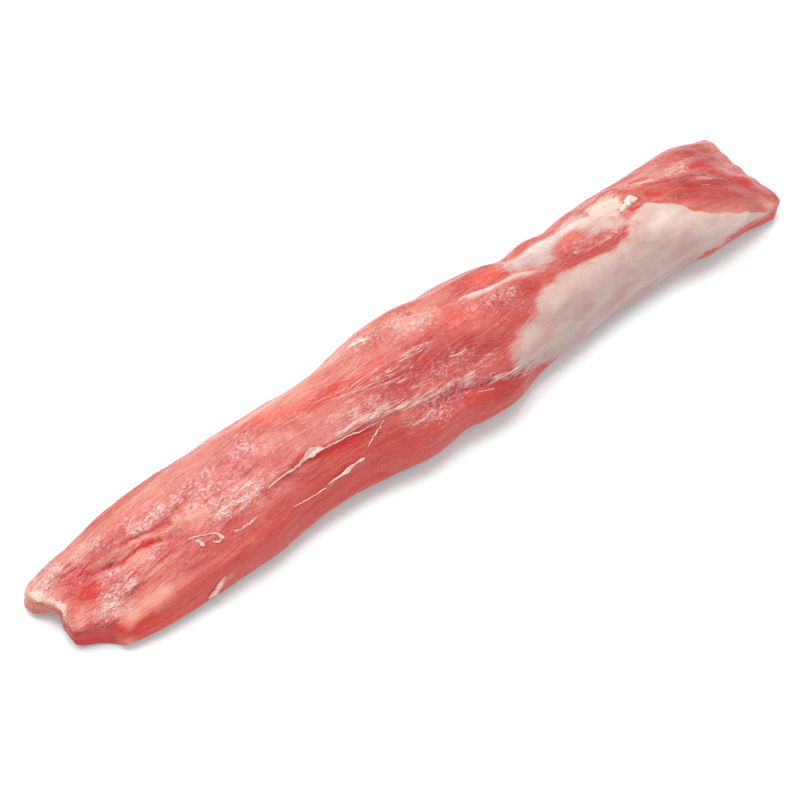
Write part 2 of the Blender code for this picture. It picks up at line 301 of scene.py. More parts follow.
SWELLS = (
    Swell(0.042, 80, 15, 8, -4.8),
    Swell(0.095, 99, 24, 8, -2.6),
    Swell(0.028, 48, 13, 6, 1.6),
    Swell(0.055, 143, 20, 5, 1.8),
    Swell(0.010, 112, 6, 9, 0.9),
    Swell(0.20, 60, 40, 9, 1.4),
    Swell(0.33, 66, 44, 8, 2.6),
    Swell(0.43, 58, 24, 9, 2.6),
    Swell(0.50, 66, 18, 9, 1.4),
    Swell(0.545, 92, 26, 12, 1.2),
    Swell(0.514, 178, 14, 9, 2.6),
    Swell(0.648, 48, 9, 13, -1.6),
    Swell(0.708, 48, 6, 12, -1.3),
    Swell(0.76, 40, 12, 8, 1.0),
    Swell(0.797, 54, 7, 6, 1.8),
    Swell(0.90, 78, 24, 10, -1.2),
    Swell(0.93, 40, 16, 8, 1.4),
)

SEAMS = (
    Groove(((0.075, 82), (0.095, 84), (0.125, 87), (0.155, 89)), 1.3, 1.8),
    Groove(((0.050, 84), (0.070, 87), (0.120, 94), (0.140, 97), (0.165, 100)), 1.7, 2.3),
    Groove(((0.035, 122), (0.055, 118), (0.090, 114), (0.135, 111), (0.155, 108)), 1.2, 2.8),
    Groove(((0.165, 89), (0.185, 91), (0.205, 92), (0.240, 93)), 0.9, 2.2),
    Groove(((0.290, 87), (0.350, 86), (0.395, 90), (0.430, 92), (0.460, 98), (0.500, 104)), 2.0, 3.6),
    Groove(((0.350, 150), (0.430, 138), (0.480, 146), (0.545, 160), (0.600, 170), (0.640, 178)), 1.5, 3.4),
    Groove(((0.530, 68), (0.555, 72), (0.595, 80), (0.635, 83), (0.680, 88)), 1.1, 2.8),
    Groove(((0.390, 121), (0.420, 127), (0.450, 133)), 1.0, 2.4),
    Groove(((0.690, 96), (0.735, 99), (0.780, 92)), 0.8, 3.0),
    Groove(((0.260, 205), (0.400, 212), (0.560, 205)), 1.0, 4.0),
    Groove(((0.180, 20), (0.330, 12), (0.470, 22)), 1.2, 4.0),
    Groove(((0.560, 18), (0.700, 8), (0.860, 20)), 1.2, 4.0),
)

LIPS = (
    Lip(((0.225, 117), (0.260, 116), (0.295, 115), (0.315, 120), (0.370, 121), (0.395, 121)), 1.3, 9.0),
    Lip(((0.240, 153), (0.290, 159), (0.310, 154), (0.350, 155), (0.370, 155)), 0.9, 7.0),
    Lip(((0.490, 149), (0.525, 152), (0.555, 151), (0.585, 161), (0.615, 172)), 0.9, 8.0),
    Lip(((0.820, 190), (0.870, 187), (0.915, 182), (0.985, 172)), 1.4, 12.0),
)


@dataclass(frozen=True)
class MuscleForm:
    """The muscle's own form, much as its solid has it: stations along its length, bulges and grooves."""

    length: float = 360.0
    tail_rounding: float = 5.0
    head_rounding: float = 3.6
    end_bluntness: float = 3.4
    widest_share: float = 0.42
    side_squareness: float = 2.4
    belly_squareness: float = 2.6
    belly_pressed_flat: float = 2.0
    tail_cut_fade: int = 4
    head_cut_fade: int = 12
    lean_power: float = 1.5
    arch_height: float = 7.0
    arch_reach: float = 16.0
    arch_near_edge: float = -5.0
    arch_far_edge: float = 13.0
    arch_slope: float = 3.0
    lip_steepness: float = 1.6
    bundle_waves: int = 14
    bundle_height: float = 0.30
    bundle_length: float = 85.0
    bundle_width: float = 11.0
    bundle_spread: Range = (0.7, 1.5)
    bundle_seed: int = 5
    step_at: float = 0.002
    step_turn: float = 1.0
    clear_of_ends: float = 0.02

    def station(self, at: Array, name: str) -> Array:
        """Reads one field of the stations at any place along the muscle."""
        return smooth(at, [(station.at, getattr(station, name)) for station in STATIONS])

    def plain(self, at: Array, turn: Array, fullness: float | Array = 1.0) -> Array:
        """Finds points before any relief: a superellipse dome on a flatter belly, with the ends cut to shape.

        Args:
            at: shares of the length.
            turn: angles round the section, in degrees.
            fullness: how far each ring is shrunk towards its middle, from 0 to 1.

        Returns:
            Points as rows of three.
        """
        angle = np.radians(turn)
        near, far, height = (self.station(at, name) for name in ("near", "far", "height"))
        across = rounded(np.cos(angle), self.side_squareness)
        steepness = np.abs(np.sin(angle))
        waist = self.widest_share * height
        dome = (height - waist) * steepness ** (2.0 / self.station(at, "top_squareness"))
        belly = (waist + self.belly_pressed_flat) * steepness ** (2.0 / self.belly_squareness)
        z = waist + np.where(turn % FULL_TURN < FULL_TURN / 2, dome, -belly) * fullness
        top_share = np.clip((z - waist) / (height - waist), 0.0, 1.0)
        lean = self.station(at, "crown") * top_share**self.lean_power
        y = (far - near) / 2 + ((far + near) / 2 * across + lean) * fullness
        share = across * fullness
        x = -self.length / 2 + at * self.length
        x = x + (1.0 - at) ** self.tail_cut_fade * smooth(share, TAIL_CUT)
        x = x - at**self.head_cut_fade * smooth(share, HEAD_CUT)
        return np.stack([x, y, z], axis=-1)

    def outward(self, at: Array, turn: Array) -> Array:
        """Finds unit vectors out of the muscle, square to small steps along it and round it."""
        inside = np.clip(at, self.clear_of_ends, 1.0 - self.clear_of_ends)
        along = self.plain(inside + self.step_at, turn) - self.plain(inside - self.step_at, turn)
        around = self.plain(inside, turn + self.step_turn) - self.plain(inside, turn - self.step_turn)
        return unit(np.cross(around, along))

    def bundle_swell(self, points: Array) -> Array:
        """Sums low, long waves with random directions and phases, as muscle bundles under the surface."""
        rng = np.random.default_rng(self.bundle_seed)
        total = np.zeros(len(points))
        for _ in range(self.bundle_waves):
            heading = rng.uniform(0.0, 2.0 * math.pi)
            length = self.bundle_length * rng.uniform(*self.bundle_spread)
            width = self.bundle_width * rng.uniform(*self.bundle_spread)
            phase = rng.uniform(0.0, 2.0 * math.pi)
            sideways = points[:, 1] * math.cos(heading) + points[:, 2] * math.sin(heading)
            total += np.sin(2.0 * math.pi * (points[:, 0] / length + sideways / width) + phase)
        return self.bundle_height * total / math.sqrt(self.bundle_waves / 2.0)

    def lift_tail(self, points: Array, at: Array) -> Array:
        """Presses the belly flat on z = 0, and arches the thin tail sheet clear of it."""
        from_rim = at * self.length / self.arch_reach
        from_near_edge = (points[:, 1] - self.arch_near_edge) / self.arch_slope
        from_far_edge = (self.arch_far_edge - points[:, 1]) / self.arch_slope
        across = 1.0 / ((1.0 + np.exp(-from_near_edge)) * (1.0 + np.exp(-from_far_edge)))
        arch = self.arch_height * np.exp(-(from_rim**2)) * across
        points[:, 2] = np.maximum(points[:, 2], 0.0)
        points[:, 2] += arch * np.clip(1.0 - points[:, 2] / self.station(at, "height"), 0.0, 1.0)
        return points


@dataclass
class PathFinder:
    """Measures how far the points of a surface lie from paths on it."""

    form: MuscleForm
    points: Array
    turn: Array
    finest: float = 0.35
    fewest: int = 8
    fade_share: float = 0.18
    least_end: float = 0.35
    groove_reach: float = 3.2
    lip_reach: float = 4.5
    stroke_reach: float = 2.6

    def line(self, path: Path, spacing: float) -> tuple[Array, Array, Array]:
        """Samples a path.

        Args:
            path: (at, turn) pairs.
            spacing: the widest gap wanted between samples.

        Returns:
            The points of the line, the turn of each, and each one's share of the way along.
        """
        knot_at, knot_turn = (np.array(column, float) for column in zip(*path))
        knots = self.form.plain(knot_at, knot_turn)
        length = np.linalg.norm(np.diff(knots, axis=0), axis=1).sum()
        share = np.linspace(0.0, 1.0, max(self.fewest, int(length / max(spacing, self.finest))))
        at, turn = places_along(path, share)
        return self.form.plain(at, turn), turn, share

    def near(self, path: Path, width: float, reach: float) -> tuple[Array, Array, Array]:
        """Finds the points close to a path.

        Args:
            path: (at, turn) pairs.
            width: the size of what lies along it, which sets how finely the path is sampled.
            reach: how far off a point still counts.

        Returns:
            The indices of the points, their distance, which is negative where turn is greater than the
            path's, and the share of the way along at which they lie.
        """
        line, line_turn, share = self.line(path, width / 2.0)
        low, high = line.min(axis=0) - reach, line.max(axis=0) + reach
        inside = np.flatnonzero(np.all((self.points > low) & (self.points < high), axis=1))
        here = self.points[inside]
        square = (here**2).sum(1)[:, None] + (line**2).sum(1)[None, :] - 2.0 * here @ line.T
        best = square.argmin(axis=1)
        gap = np.sqrt(np.maximum(square[np.arange(len(here)), best], 0.0))
        side = np.where(self.turn[inside] > line_turn[best], -1.0, 1.0)
        kept = gap < reach
        return inside[kept], (gap * side)[kept], share[best][kept]

    def fade(self, share: Array) -> Array:
        """1 along the middle of a path, falling to 0 at both its ends."""
        return np.clip(np.minimum(share, 1.0 - share) / self.fade_share, 0.0, 1.0)

    def bumps(self, grooves: Sequence[Groove]) -> Array:
        """Sums the depths of grooves, each a bell curve across its path."""
        total = np.zeros(len(self.points))
        for groove in grooves:
            where, gap, share = self.near(groove.path, groove.width, self.groove_reach * groove.width)
            total[where] -= groove.depth * self.fade(share) * np.exp(-((gap / groove.width) ** 2))
        return total

    def steps(self, lips: Sequence[Lip]) -> Array:
        """Sums the lips, each a smooth step across its path that dies away on both sides."""
        total = np.zeros(len(self.points))
        for lip in lips:
            where, gap, share = self.near(lip.path, 1.0, self.lip_reach * lip.reach)
            edge = np.tanh(gap / self.form.lip_steepness) * np.exp(-np.abs(gap) / lip.reach)
            total[where] += lip.height * self.fade(share) * edge
        return total

    def painted(self, strokes: Sequence[Stroke]) -> Array:
        """Lays strokes over each other, each a bell curve across its path.

        Args:
            strokes: the marks.

        Returns:
            How fully each point is covered, from 0 to 1.
        """
        bare = np.ones(len(self.points))
        for stroke in strokes:
            where, gap, share = self.near(stroke.path, stroke.width, self.stroke_reach * stroke.width)
            cover = stroke.strength * np.exp(-((gap / stroke.width) ** 2))
            cover = cover * np.maximum(self.fade(share), self.least_end)
            bare[where] *= 1.0 - np.clip(cover, 0.0, 1.0)
        return 1.0 - bare


class Layer(Enum):
    """The named things that lie on the muscle, each a mask on its surface.

    The dark red, ruddy and flank masks are partly painted shade, and the pale and frost masks partly painted
    light: highlight, sheen and glints.
    """

    DEEP_RED_AND_SHADE = "deep"
    RUDDY_AND_SHADE = "ruddy"
    PALE_AND_PAINTED_LIGHT = "pale"
    GLOW = "glow"
    FROST_AND_SHEEN = "frost"
    FILM = "film"
    SKIN = "skin"
    FAT = "fat"
    VEIN = "vein"
    FLANK = "flank"


STROKES = {
    # Dark red. The wet hollow at the tail, the end wall's near half and the red bands are the meat's own
    # colour; the strokes along the tail's creases, under the flake arc, in the groove under the fold flap and
    # under the head's lower lip are painted shade.
    Layer.DEEP_RED_AND_SHADE: (
        Stroke(((0.060, 66), (0.046, 69), (0.036, 76), (0.032, 86)), 5.8, 1.0),
        Stroke(((0.034, 78), (0.038, 88), (0.048, 95)), 4.6, 0.9),
        Stroke(((0.054, 75), (0.072, 83), (0.094, 88), (0.119, 91)), 1.1, 0.9),
        Stroke(((0.104, 89), (0.119, 91)), 1.6, 1.0),
        Stroke(((0.081, 77), (0.114, 84), (0.135, 88)), 0.8, 0.7),
        Stroke(((0.079, 109), (0.099, 108), (0.121, 108), (0.139, 106)), 1.5, 0.55),
        Stroke(((0.002, 108), (0.000, 150), (0.001, 172)), 4.6, 0.95),
        Stroke(((0.010, 165), (0.034, 156), (0.056, 158)), 1.1, 0.6),
        Stroke(((0.012, 178), (0.040, 174), (0.090, 183), (0.150, 189)), 3.0, 0.75),
        Stroke(((0.000, 350), (0.000, 335), (0.000, 318)), 2.0, 0.7),
        Stroke(((0.171, 90), (0.213, 94), (0.259, 98)), 0.8, 0.5),
        Stroke(((0.165, 118), (0.180, 122), (0.192, 124)), 3.0, 0.55),
        Stroke(((0.288, 121), (0.304, 121), (0.327, 124), (0.353, 125), (0.380, 125)), 2.0, 0.95),
        Stroke(((0.250, 157), (0.270, 160), (0.295, 160)), 1.5, 0.6),
        Stroke(((0.300, 134), (0.330, 140), (0.350, 140)), 4.0, 0.45),
        Stroke(((0.560, 112), (0.580, 116), (0.592, 120)), 3.0, 0.45),
        Stroke(((0.600, 106), (0.618, 104), (0.640, 102)), 2.6, 0.5),
        Stroke(((0.490, 100), (0.520, 102), (0.550, 104)), 3.4, 0.3),
        Stroke(((0.668, 92), (0.684, 96), (0.700, 100), (0.724, 103), (0.748, 106), (0.764, 107)), 2.4, 0.45),
        Stroke(((0.896, 71), (0.925, 71), (0.943, 78)), 1.8, 0.6),
        Stroke(((0.986, 55), (0.972, 83), (0.954, 104), (0.957, 124)), 3.4, 0.55),
        Stroke(((0.860, 94), (0.900, 103), (0.945, 112)), 6.0, 0.3),
        Stroke(((0.968, 88), (0.976, 104), (0.972, 120)), 4.6, 0.65),
        Stroke(((0.900, 68), (0.932, 72), (0.955, 90), (0.960, 104)), 5.0, 0.45),
        Stroke(((0.820, 72), (0.850, 70), (0.880, 72)), 3.0, 0.6),
        Stroke(((0.791, 86), (0.800, 88), (0.812, 91), (0.830, 94)), 1.4, 0.95),
        Stroke(((0.815, 80), (0.847, 85), (0.880, 90)), 1.8, 0.7),
        Stroke(((0.997, 179), (0.974, 186), (0.945, 194), (0.905, 196), (0.858, 194)), 2.6, 1.0),
        Stroke(((0.858, 190), (0.840, 200), (0.818, 202), (0.793, 204)), 1.2, 0.9),
        Stroke(((0.449, 144), (0.465, 150), (0.485, 156), (0.500, 158)), 2.4, 0.45),
    ),
    # Darker red. Over the head's cut facet and towards its right edge it is partly the meat's red bands and
    # partly painted shade; elsewhere it darkens streaks along the middle and the lower sides.
    Layer.RUDDY_AND_SHADE: (
        Stroke(((0.850, 78), (0.885, 84), (0.925, 92), (0.965, 100)), 12.0, 1.0),
        Stroke(((0.870, 104), (0.910, 114), (0.945, 124)), 6.0, 0.8),
        Stroke(((0.920, 52), (0.955, 56), (0.985, 68)), 9.0, 1.0),
        Stroke(((0.960, 92), (0.972, 106), (0.970, 124)), 9.0, 1.0),
        Stroke(((0.310, 92), (0.360, 98), (0.410, 104), (0.460, 110)), 6.0, 0.5),
        Stroke(((0.400, 94), (0.430, 100), (0.470, 106), (0.510, 112)), 7.0, 1.0),
        Stroke(((0.480, 108), (0.520, 116), (0.560, 118)), 6.0, 0.7),
        Stroke(((0.240, 128), (0.300, 132), (0.360, 134), (0.420, 146)), 6.0, 0.5),
        Stroke(((0.560, 98), (0.600, 102), (0.640, 100)), 5.0, 0.6),
        Stroke(((0.664, 92), (0.690, 97), (0.724, 102), (0.762, 106)), 5.0, 0.55),
        Stroke(((0.500, 162), (0.540, 170), (0.600, 188)), 6.0, 0.5),
        Stroke(((0.140, 352), (0.280, 358), (0.420, 350)), 7.0, 0.5),
        Stroke(((0.600, 345), (0.740, 352), (0.900, 356)), 7.0, 0.5),
    ),
    # Pale peach: the meat's pale rims and films, partly painted highlight along the far rim and the crest of
    # the far roll, and partly painted light on the silverskin's upper part and on the far half of the tail's
    # end wall.
    Layer.PALE_AND_PAINTED_LIGHT: (
        Stroke(
            ((0.231, 58), (0.171, 54), (0.120, 49), (0.079, 51), (0.050, 47), (0.019, 46), (0.006, 40)),
            4.2, 0.8
        ),
        Stroke(((0.213, 54), (0.288, 55), (0.334, 60), (0.382, 56), (0.421, 54), (0.460, 56)), 3.4, 0.9),
        Stroke(((0.298, 66), (0.341, 71), (0.374, 69), (0.405, 72), (0.448, 82), (0.470, 86)), 2.2, 0.4),
        Stroke(((0.460, 64), (0.486, 76), (0.509, 74), (0.535, 70)), 5.5, 0.8),
        Stroke(((0.061, 73), (0.079, 79), (0.101, 84), (0.123, 88)), 0.9, 0.95),
        Stroke(((0.081, 112), (0.103, 112), (0.135, 111)), 1.2, 0.9),
        Stroke(((0.005, 140), (0.034, 135), (0.067, 133), (0.095, 132)), 3.4, 0.95),
        Stroke(((0.005, 172), (0.009, 178), (0.016, 186)), 1.8, 0.95),
        Stroke(((0.001, 345), (0.001, 12), (0.001, 40)), 5.0, 0.9),
        Stroke(((0.001, 12), (0.001, 40), (0.002, 66), (0.003, 84)), 5.0, 0.9),
        Stroke(((0.024, 106), (0.036, 115), (0.050, 115)), 4.0, 0.8),
        Stroke(((0.068, 84), (0.092, 90), (0.112, 94)), 4.0, 0.85),
        Stroke(((0.310, 88), (0.350, 92), (0.390, 96)), 5.0, 0.5),
        Stroke(((0.160, 98), (0.200, 100), (0.250, 104)), 4.0, 0.45),
        Stroke(
            ((0.798, 96), (0.805, 110), (0.820, 119), (0.849, 128), (0.883, 137), (0.912, 146), (0.956, 158)),
            6.0, 0.75
        ),
        Stroke(
            ((0.637, 72), (0.664, 67), (0.693, 66), (0.720, 67), (0.742, 74), (0.762, 82), (0.785, 90)),
            6.0, 0.8
        ),
        Stroke(
            ((0.541, 77), (0.561, 80), (0.579, 84), (0.597, 87), (0.619, 86), (0.633, 90), (0.655, 93)),
            1.5, 0.9
        ),
        Stroke(((0.008, 100), (0.016, 112), (0.014, 124)), 3.4, 0.6),
        Stroke(((0.118, 84), (0.150, 90), (0.180, 96)), 5.0, 0.55),
        Stroke(((0.271, 90), (0.291, 91), (0.306, 95)), 5.0, 0.5),
        Stroke(((0.956, 134), (0.972, 146), (0.986, 150)), 2.2, 0.9),
        Stroke(((0.978, 46), (0.990, 56), (0.995, 74)), 1.2, 0.4),
        Stroke(((0.891, 84), (0.910, 86), (0.928, 89)), 1.4, 0.85),
        Stroke(((0.850, 60), (0.875, 61), (0.899, 60), (0.920, 64)), 4.0, 0.7),
        Stroke(((0.800, 57), (0.834, 60), (0.860, 66)), 1.8, 0.9),
        Stroke(((0.130, 62), (0.200, 66), (0.240, 70)), 5.0, 0.45),
        Stroke(((0.150, 172), (0.142, 178), (0.129, 184), (0.119, 190)), 1.2, 0.6),
    ),
    Layer.GLOW: (
        Stroke(
            ((0.262, 50), (0.286, 66), (0.311, 74), (0.329, 80), (0.374, 80), (0.424, 85), (0.443, 89)),
            3.0, 1.0
        ),
        Stroke(((0.520, 80), (0.535, 86), (0.550, 92)), 5.0, 0.7),
        Stroke(((0.575, 70), (0.595, 72), (0.610, 74), (0.626, 77)), 3.4, 0.85),
        Stroke(((0.691, 83), (0.709, 80), (0.720, 80)), 2.4, 0.8),
        Stroke(((0.775, 62), (0.790, 66), (0.801, 70)), 1.8, 0.9),
        Stroke(((0.080, 62), (0.120, 62), (0.171, 66)), 3.4, 0.5),
        Stroke(((0.010, 128), (0.025, 146), (0.045, 150)), 3.0, 0.6),
        Stroke(((0.010, 93), (0.018, 100), (0.022, 110)), 3.0, 0.6),
        Stroke(((0.003, 112), (0.001, 140), (0.002, 164)), 5.0, 0.6),
        Stroke(((0.020, 182), (0.050, 178), (0.100, 182)), 4.0, 0.6),
    ),
    # Frost: wet, frosty patches. Their pale pink is partly painted sheen, and the white specks laid on them
    # are painted glints.
    Layer.FROST_AND_SHEEN: (
        Stroke(((0.052, 48), (0.034, 49), (0.023, 55), (0.014, 62)), 3.6, 1.0),
        Stroke(((0.056, 82), (0.067, 84), (0.082, 88)), 2.6, 1.0),
        Stroke(((0.024, 106), (0.034, 113), (0.043, 117), (0.056, 112)), 3.6, 1.0),
        Stroke(((0.045, 103), (0.056, 100), (0.068, 98)), 4.0, 1.0),
        Stroke(((0.065, 106), (0.076, 103), (0.088, 99)), 2.6, 1.0),
        Stroke(((0.097, 101), (0.108, 97), (0.117, 95), (0.128, 97)), 2.4, 0.95),
        Stroke(((0.007, 118), (0.010, 123), (0.020, 124)), 2.2, 1.0),
        Stroke(((0.030, 64), (0.042, 76), (0.042, 92)), 7.0, 0.35),
        Stroke(((0.400, 60), (0.440, 62), (0.480, 70), (0.500, 76)), 5.0, 0.35),
        Stroke(((0.060, 56), (0.076, 58), (0.085, 66), (0.081, 74)), 3.6, 0.75),
        Stroke(((0.100, 74), (0.130, 79), (0.150, 84)), 4.6, 0.65),
        Stroke(((0.150, 86), (0.186, 88), (0.217, 91)), 8.0, 0.55),
        Stroke(((0.180, 104), (0.215, 106), (0.250, 108)), 5.0, 0.6),
        Stroke(((0.246, 77), (0.257, 82), (0.266, 87)), 4.4, 0.7),
        Stroke(((0.242, 43), (0.253, 45)), 1.4, 0.9),
        Stroke(((0.184, 110), (0.202, 110), (0.220, 116)), 2.8, 0.8),
        Stroke(((0.463, 76), (0.478, 76), (0.494, 77)), 3.4, 0.6),
        Stroke(((0.487, 82), (0.499, 80), (0.514, 78)), 3.4, 0.7),
        Stroke(((0.530, 78), (0.560, 90), (0.590, 98), (0.600, 110)), 6.0, 0.3),
        Stroke(((0.575, 90), (0.592, 93), (0.606, 97)), 3.0, 0.5),
        Stroke(((0.850, 64), (0.899, 64), (0.915, 67)), 3.6, 0.5),
        Stroke(((0.330, 100), (0.370, 102), (0.410, 106)), 5.0, 0.35),
        Stroke(((0.430, 108), (0.470, 116), (0.510, 124)), 6.0, 0.3),
        Stroke(((0.452, 137), (0.475, 141), (0.500, 146)), 3.0, 0.7),
        Stroke(((0.410, 142), (0.440, 146), (0.470, 152)), 4.0, 0.45),
        Stroke(((0.672, 88), (0.700, 90), (0.728, 94), (0.757, 100)), 4.6, 0.2),
    ),
    Layer.FILM: (
        Stroke(((0.326, 113), (0.356, 113), (0.389, 113), (0.410, 114)), 2.6, 0.9),
        Stroke(((0.395, 88), (0.423, 89), (0.445, 93), (0.465, 100)), 2.2, 0.6),
        Stroke(((0.390, 92), (0.414, 95), (0.432, 102), (0.456, 107)), 2.0, 0.6),
        Stroke(((0.443, 87), (0.463, 91), (0.490, 95)), 1.0, 0.8),
        Stroke(((0.394, 120), (0.416, 123), (0.441, 128), (0.474, 134), (0.492, 135)), 2.0, 0.95),
        Stroke(((0.400, 138), (0.420, 140), (0.448, 148)), 2.8, 0.6),
        Stroke(((0.487, 143), (0.494, 136), (0.505, 132)), 2.0, 0.9),
        Stroke(((0.505, 134), (0.522, 131), (0.540, 130)), 2.4, 0.7),
        Stroke(((0.600, 74), (0.642, 68), (0.671, 62), (0.702, 60), (0.735, 58), (0.768, 62)), 4.0, 0.8),
        Stroke(((0.635, 82), (0.657, 86), (0.672, 86)), 3.6, 0.85),
        Stroke(((0.725, 84), (0.750, 86), (0.775, 90)), 3.6, 0.8),
        Stroke(((0.684, 92), (0.706, 96), (0.732, 99), (0.752, 101)), 1.5, 0.7),
        Stroke(((0.512, 154), (0.532, 151), (0.557, 152), (0.572, 160)), 1.3, 0.95),
        Stroke(((0.520, 158), (0.545, 158), (0.570, 166), (0.590, 176)), 3.2, 0.65),
        Stroke(((0.184, 109), (0.195, 107), (0.208, 111), (0.222, 117)), 1.3, 0.8),
        Stroke(((0.270, 108), (0.290, 108), (0.330, 112)), 3.0, 0.35),
        Stroke(((0.240, 118), (0.263, 117), (0.283, 117)), 1.0, 0.7),
        Stroke(((0.860, 180), (0.900, 176), (0.950, 170)), 2.0, 0.5),
        Stroke(((0.180, 18), (0.260, 12), (0.340, 14), (0.440, 20)), 1.6, 0.8),
        Stroke(((0.560, 14), (0.640, 8), (0.720, 10), (0.830, 18)), 1.8, 0.8),
        Stroke(((0.260, 205), (0.400, 212), (0.560, 205)), 2.0, 0.7),
        Stroke(((0.120, 285), (0.300, 275), (0.520, 282)), 4.0, 0.5),
        Stroke(((0.560, 262), (0.740, 270), (0.920, 280)), 5.0, 0.5),
    ),
    Layer.FAT: (
        Stroke(((0.008, 42), (0.005, 58), (0.003, 72), (0.003, 88), (0.004, 104)), 1.8, 0.85),
        # Fat tone over the tail's end face: partly the cream fat of its rim, partly painted light on the
        # shaded end wall.
        Stroke(((0.000, 2), (0.000, 30), (0.000, 60)), 4.0, 0.55),
        Stroke(((0.750, 68), (0.772, 67), (0.788, 71), (0.794, 76)), 5.0, 0.85),
        Stroke(((0.750, 75), (0.768, 78), (0.786, 83)), 3.4, 0.6),
        Stroke(((0.800, 57), (0.834, 60), (0.860, 66)), 1.4, 0.55),
        Stroke(((0.422, 58), (0.432, 60), (0.443, 64)), 1.3, 0.8),
        Stroke(((0.480, 350), (0.520, 346), (0.560, 350)), 2.2, 0.6),
        Stroke(((0.700, 300), (0.760, 296), (0.800, 304)), 2.6, 0.6),
    ),
    Layer.VEIN: (
        Stroke(((0.430, 132), (0.452, 138), (0.470, 142), (0.487, 145)), 3.6, 1.0),
        Stroke(((0.494, 151), (0.510, 148), (0.526, 146)), 2.2, 1.0),
        Stroke(((0.785, 101), (0.768, 106)), 2.4, 0.35),
        Stroke(((0.773, 155), (0.800, 160)), 3.6, 0.4),
        Stroke(((0.660, 152), (0.680, 156)), 3.0, 0.35),
        Stroke(((0.730, 122), (0.745, 126)), 3.6, 0.3),
    ),
}

CREASES = (
    Groove(((0.054, 75), (0.072, 83), (0.094, 88), (0.119, 91), (0.130, 93)), 0.9, 0.8),
    Groove(((0.061, 73), (0.079, 79), (0.101, 84), (0.123, 88), (0.140, 90)), -0.6, 0.9),
    Groove(((0.081, 77), (0.114, 84), (0.135, 88), (0.150, 90)), 0.6, 0.7),
    Groove(((0.079, 109), (0.099, 108), (0.121, 108), (0.139, 106), (0.150, 105)), 0.3, 1.0),
    Groove(((0.081, 113), (0.103, 112), (0.135, 111)), -0.25, 1.2),
    Groove(((0.060, 101), (0.078, 99), (0.096, 96), (0.112, 95)), 0.5, 0.7),
    Groove(((0.070, 92), (0.088, 94), (0.105, 94)), -0.4, 0.8),
    Groove(((0.010, 165), (0.034, 155), (0.056, 157), (0.075, 160)), 0.6, 0.8),
    Groove(((0.020, 70), (0.026, 84), (0.030, 98)), 0.5, 0.9),
    Groove(((0.010, 84), (0.014, 96), (0.014, 110)), -0.5, 1.0),
    Groove(((0.171, 90), (0.213, 94), (0.259, 98)), 0.5, 0.7),
    Groove(((0.180, 100), (0.215, 103), (0.250, 106)), 0.3, 0.8),
    Groove(((0.445, 87), (0.466, 90), (0.490, 92)), 0.5, 0.8),
    Groove(((0.360, 90), (0.400, 92), (0.440, 98)), 0.4, 0.7),
    Groove(((0.541, 77), (0.561, 80), (0.579, 84), (0.597, 87), (0.619, 86), (0.650, 91)), -0.8, 1.5),
    Groove(((0.440, 136), (0.470, 143), (0.496, 150), (0.525, 153)), 0.6, 0.9),
    Groove(((0.512, 154), (0.532, 151), (0.557, 152), (0.572, 160)), -0.4, 0.8),
    Groove(((0.394, 120), (0.441, 128), (0.474, 134), (0.492, 135)), -0.3, 0.9),
    Groove(((0.896, 71), (0.925, 71), (0.943, 78)), 0.5, 1.2),
    Groove(((0.870, 76), (0.892, 78), (0.915, 84), (0.930, 92)), 0.35, 0.8),
    Groove(((0.850, 84), (0.875, 88), (0.905, 94), (0.930, 102)), 0.3, 0.7),
    Groove(((0.896, 90), (0.915, 91), (0.935, 96)), -0.4, 0.7),
    Groove(((0.822, 76), (0.835, 88), (0.850, 94), (0.870, 98)), 0.4, 1.0),
    Groove(((0.791, 86), (0.800, 88), (0.812, 91)), 0.6, 1.0),
    Groove(((0.466, 71), (0.474, 72)), 0.8, 0.8),
    Groove(((0.494, 69), (0.504, 68)), 0.8, 0.8),
)


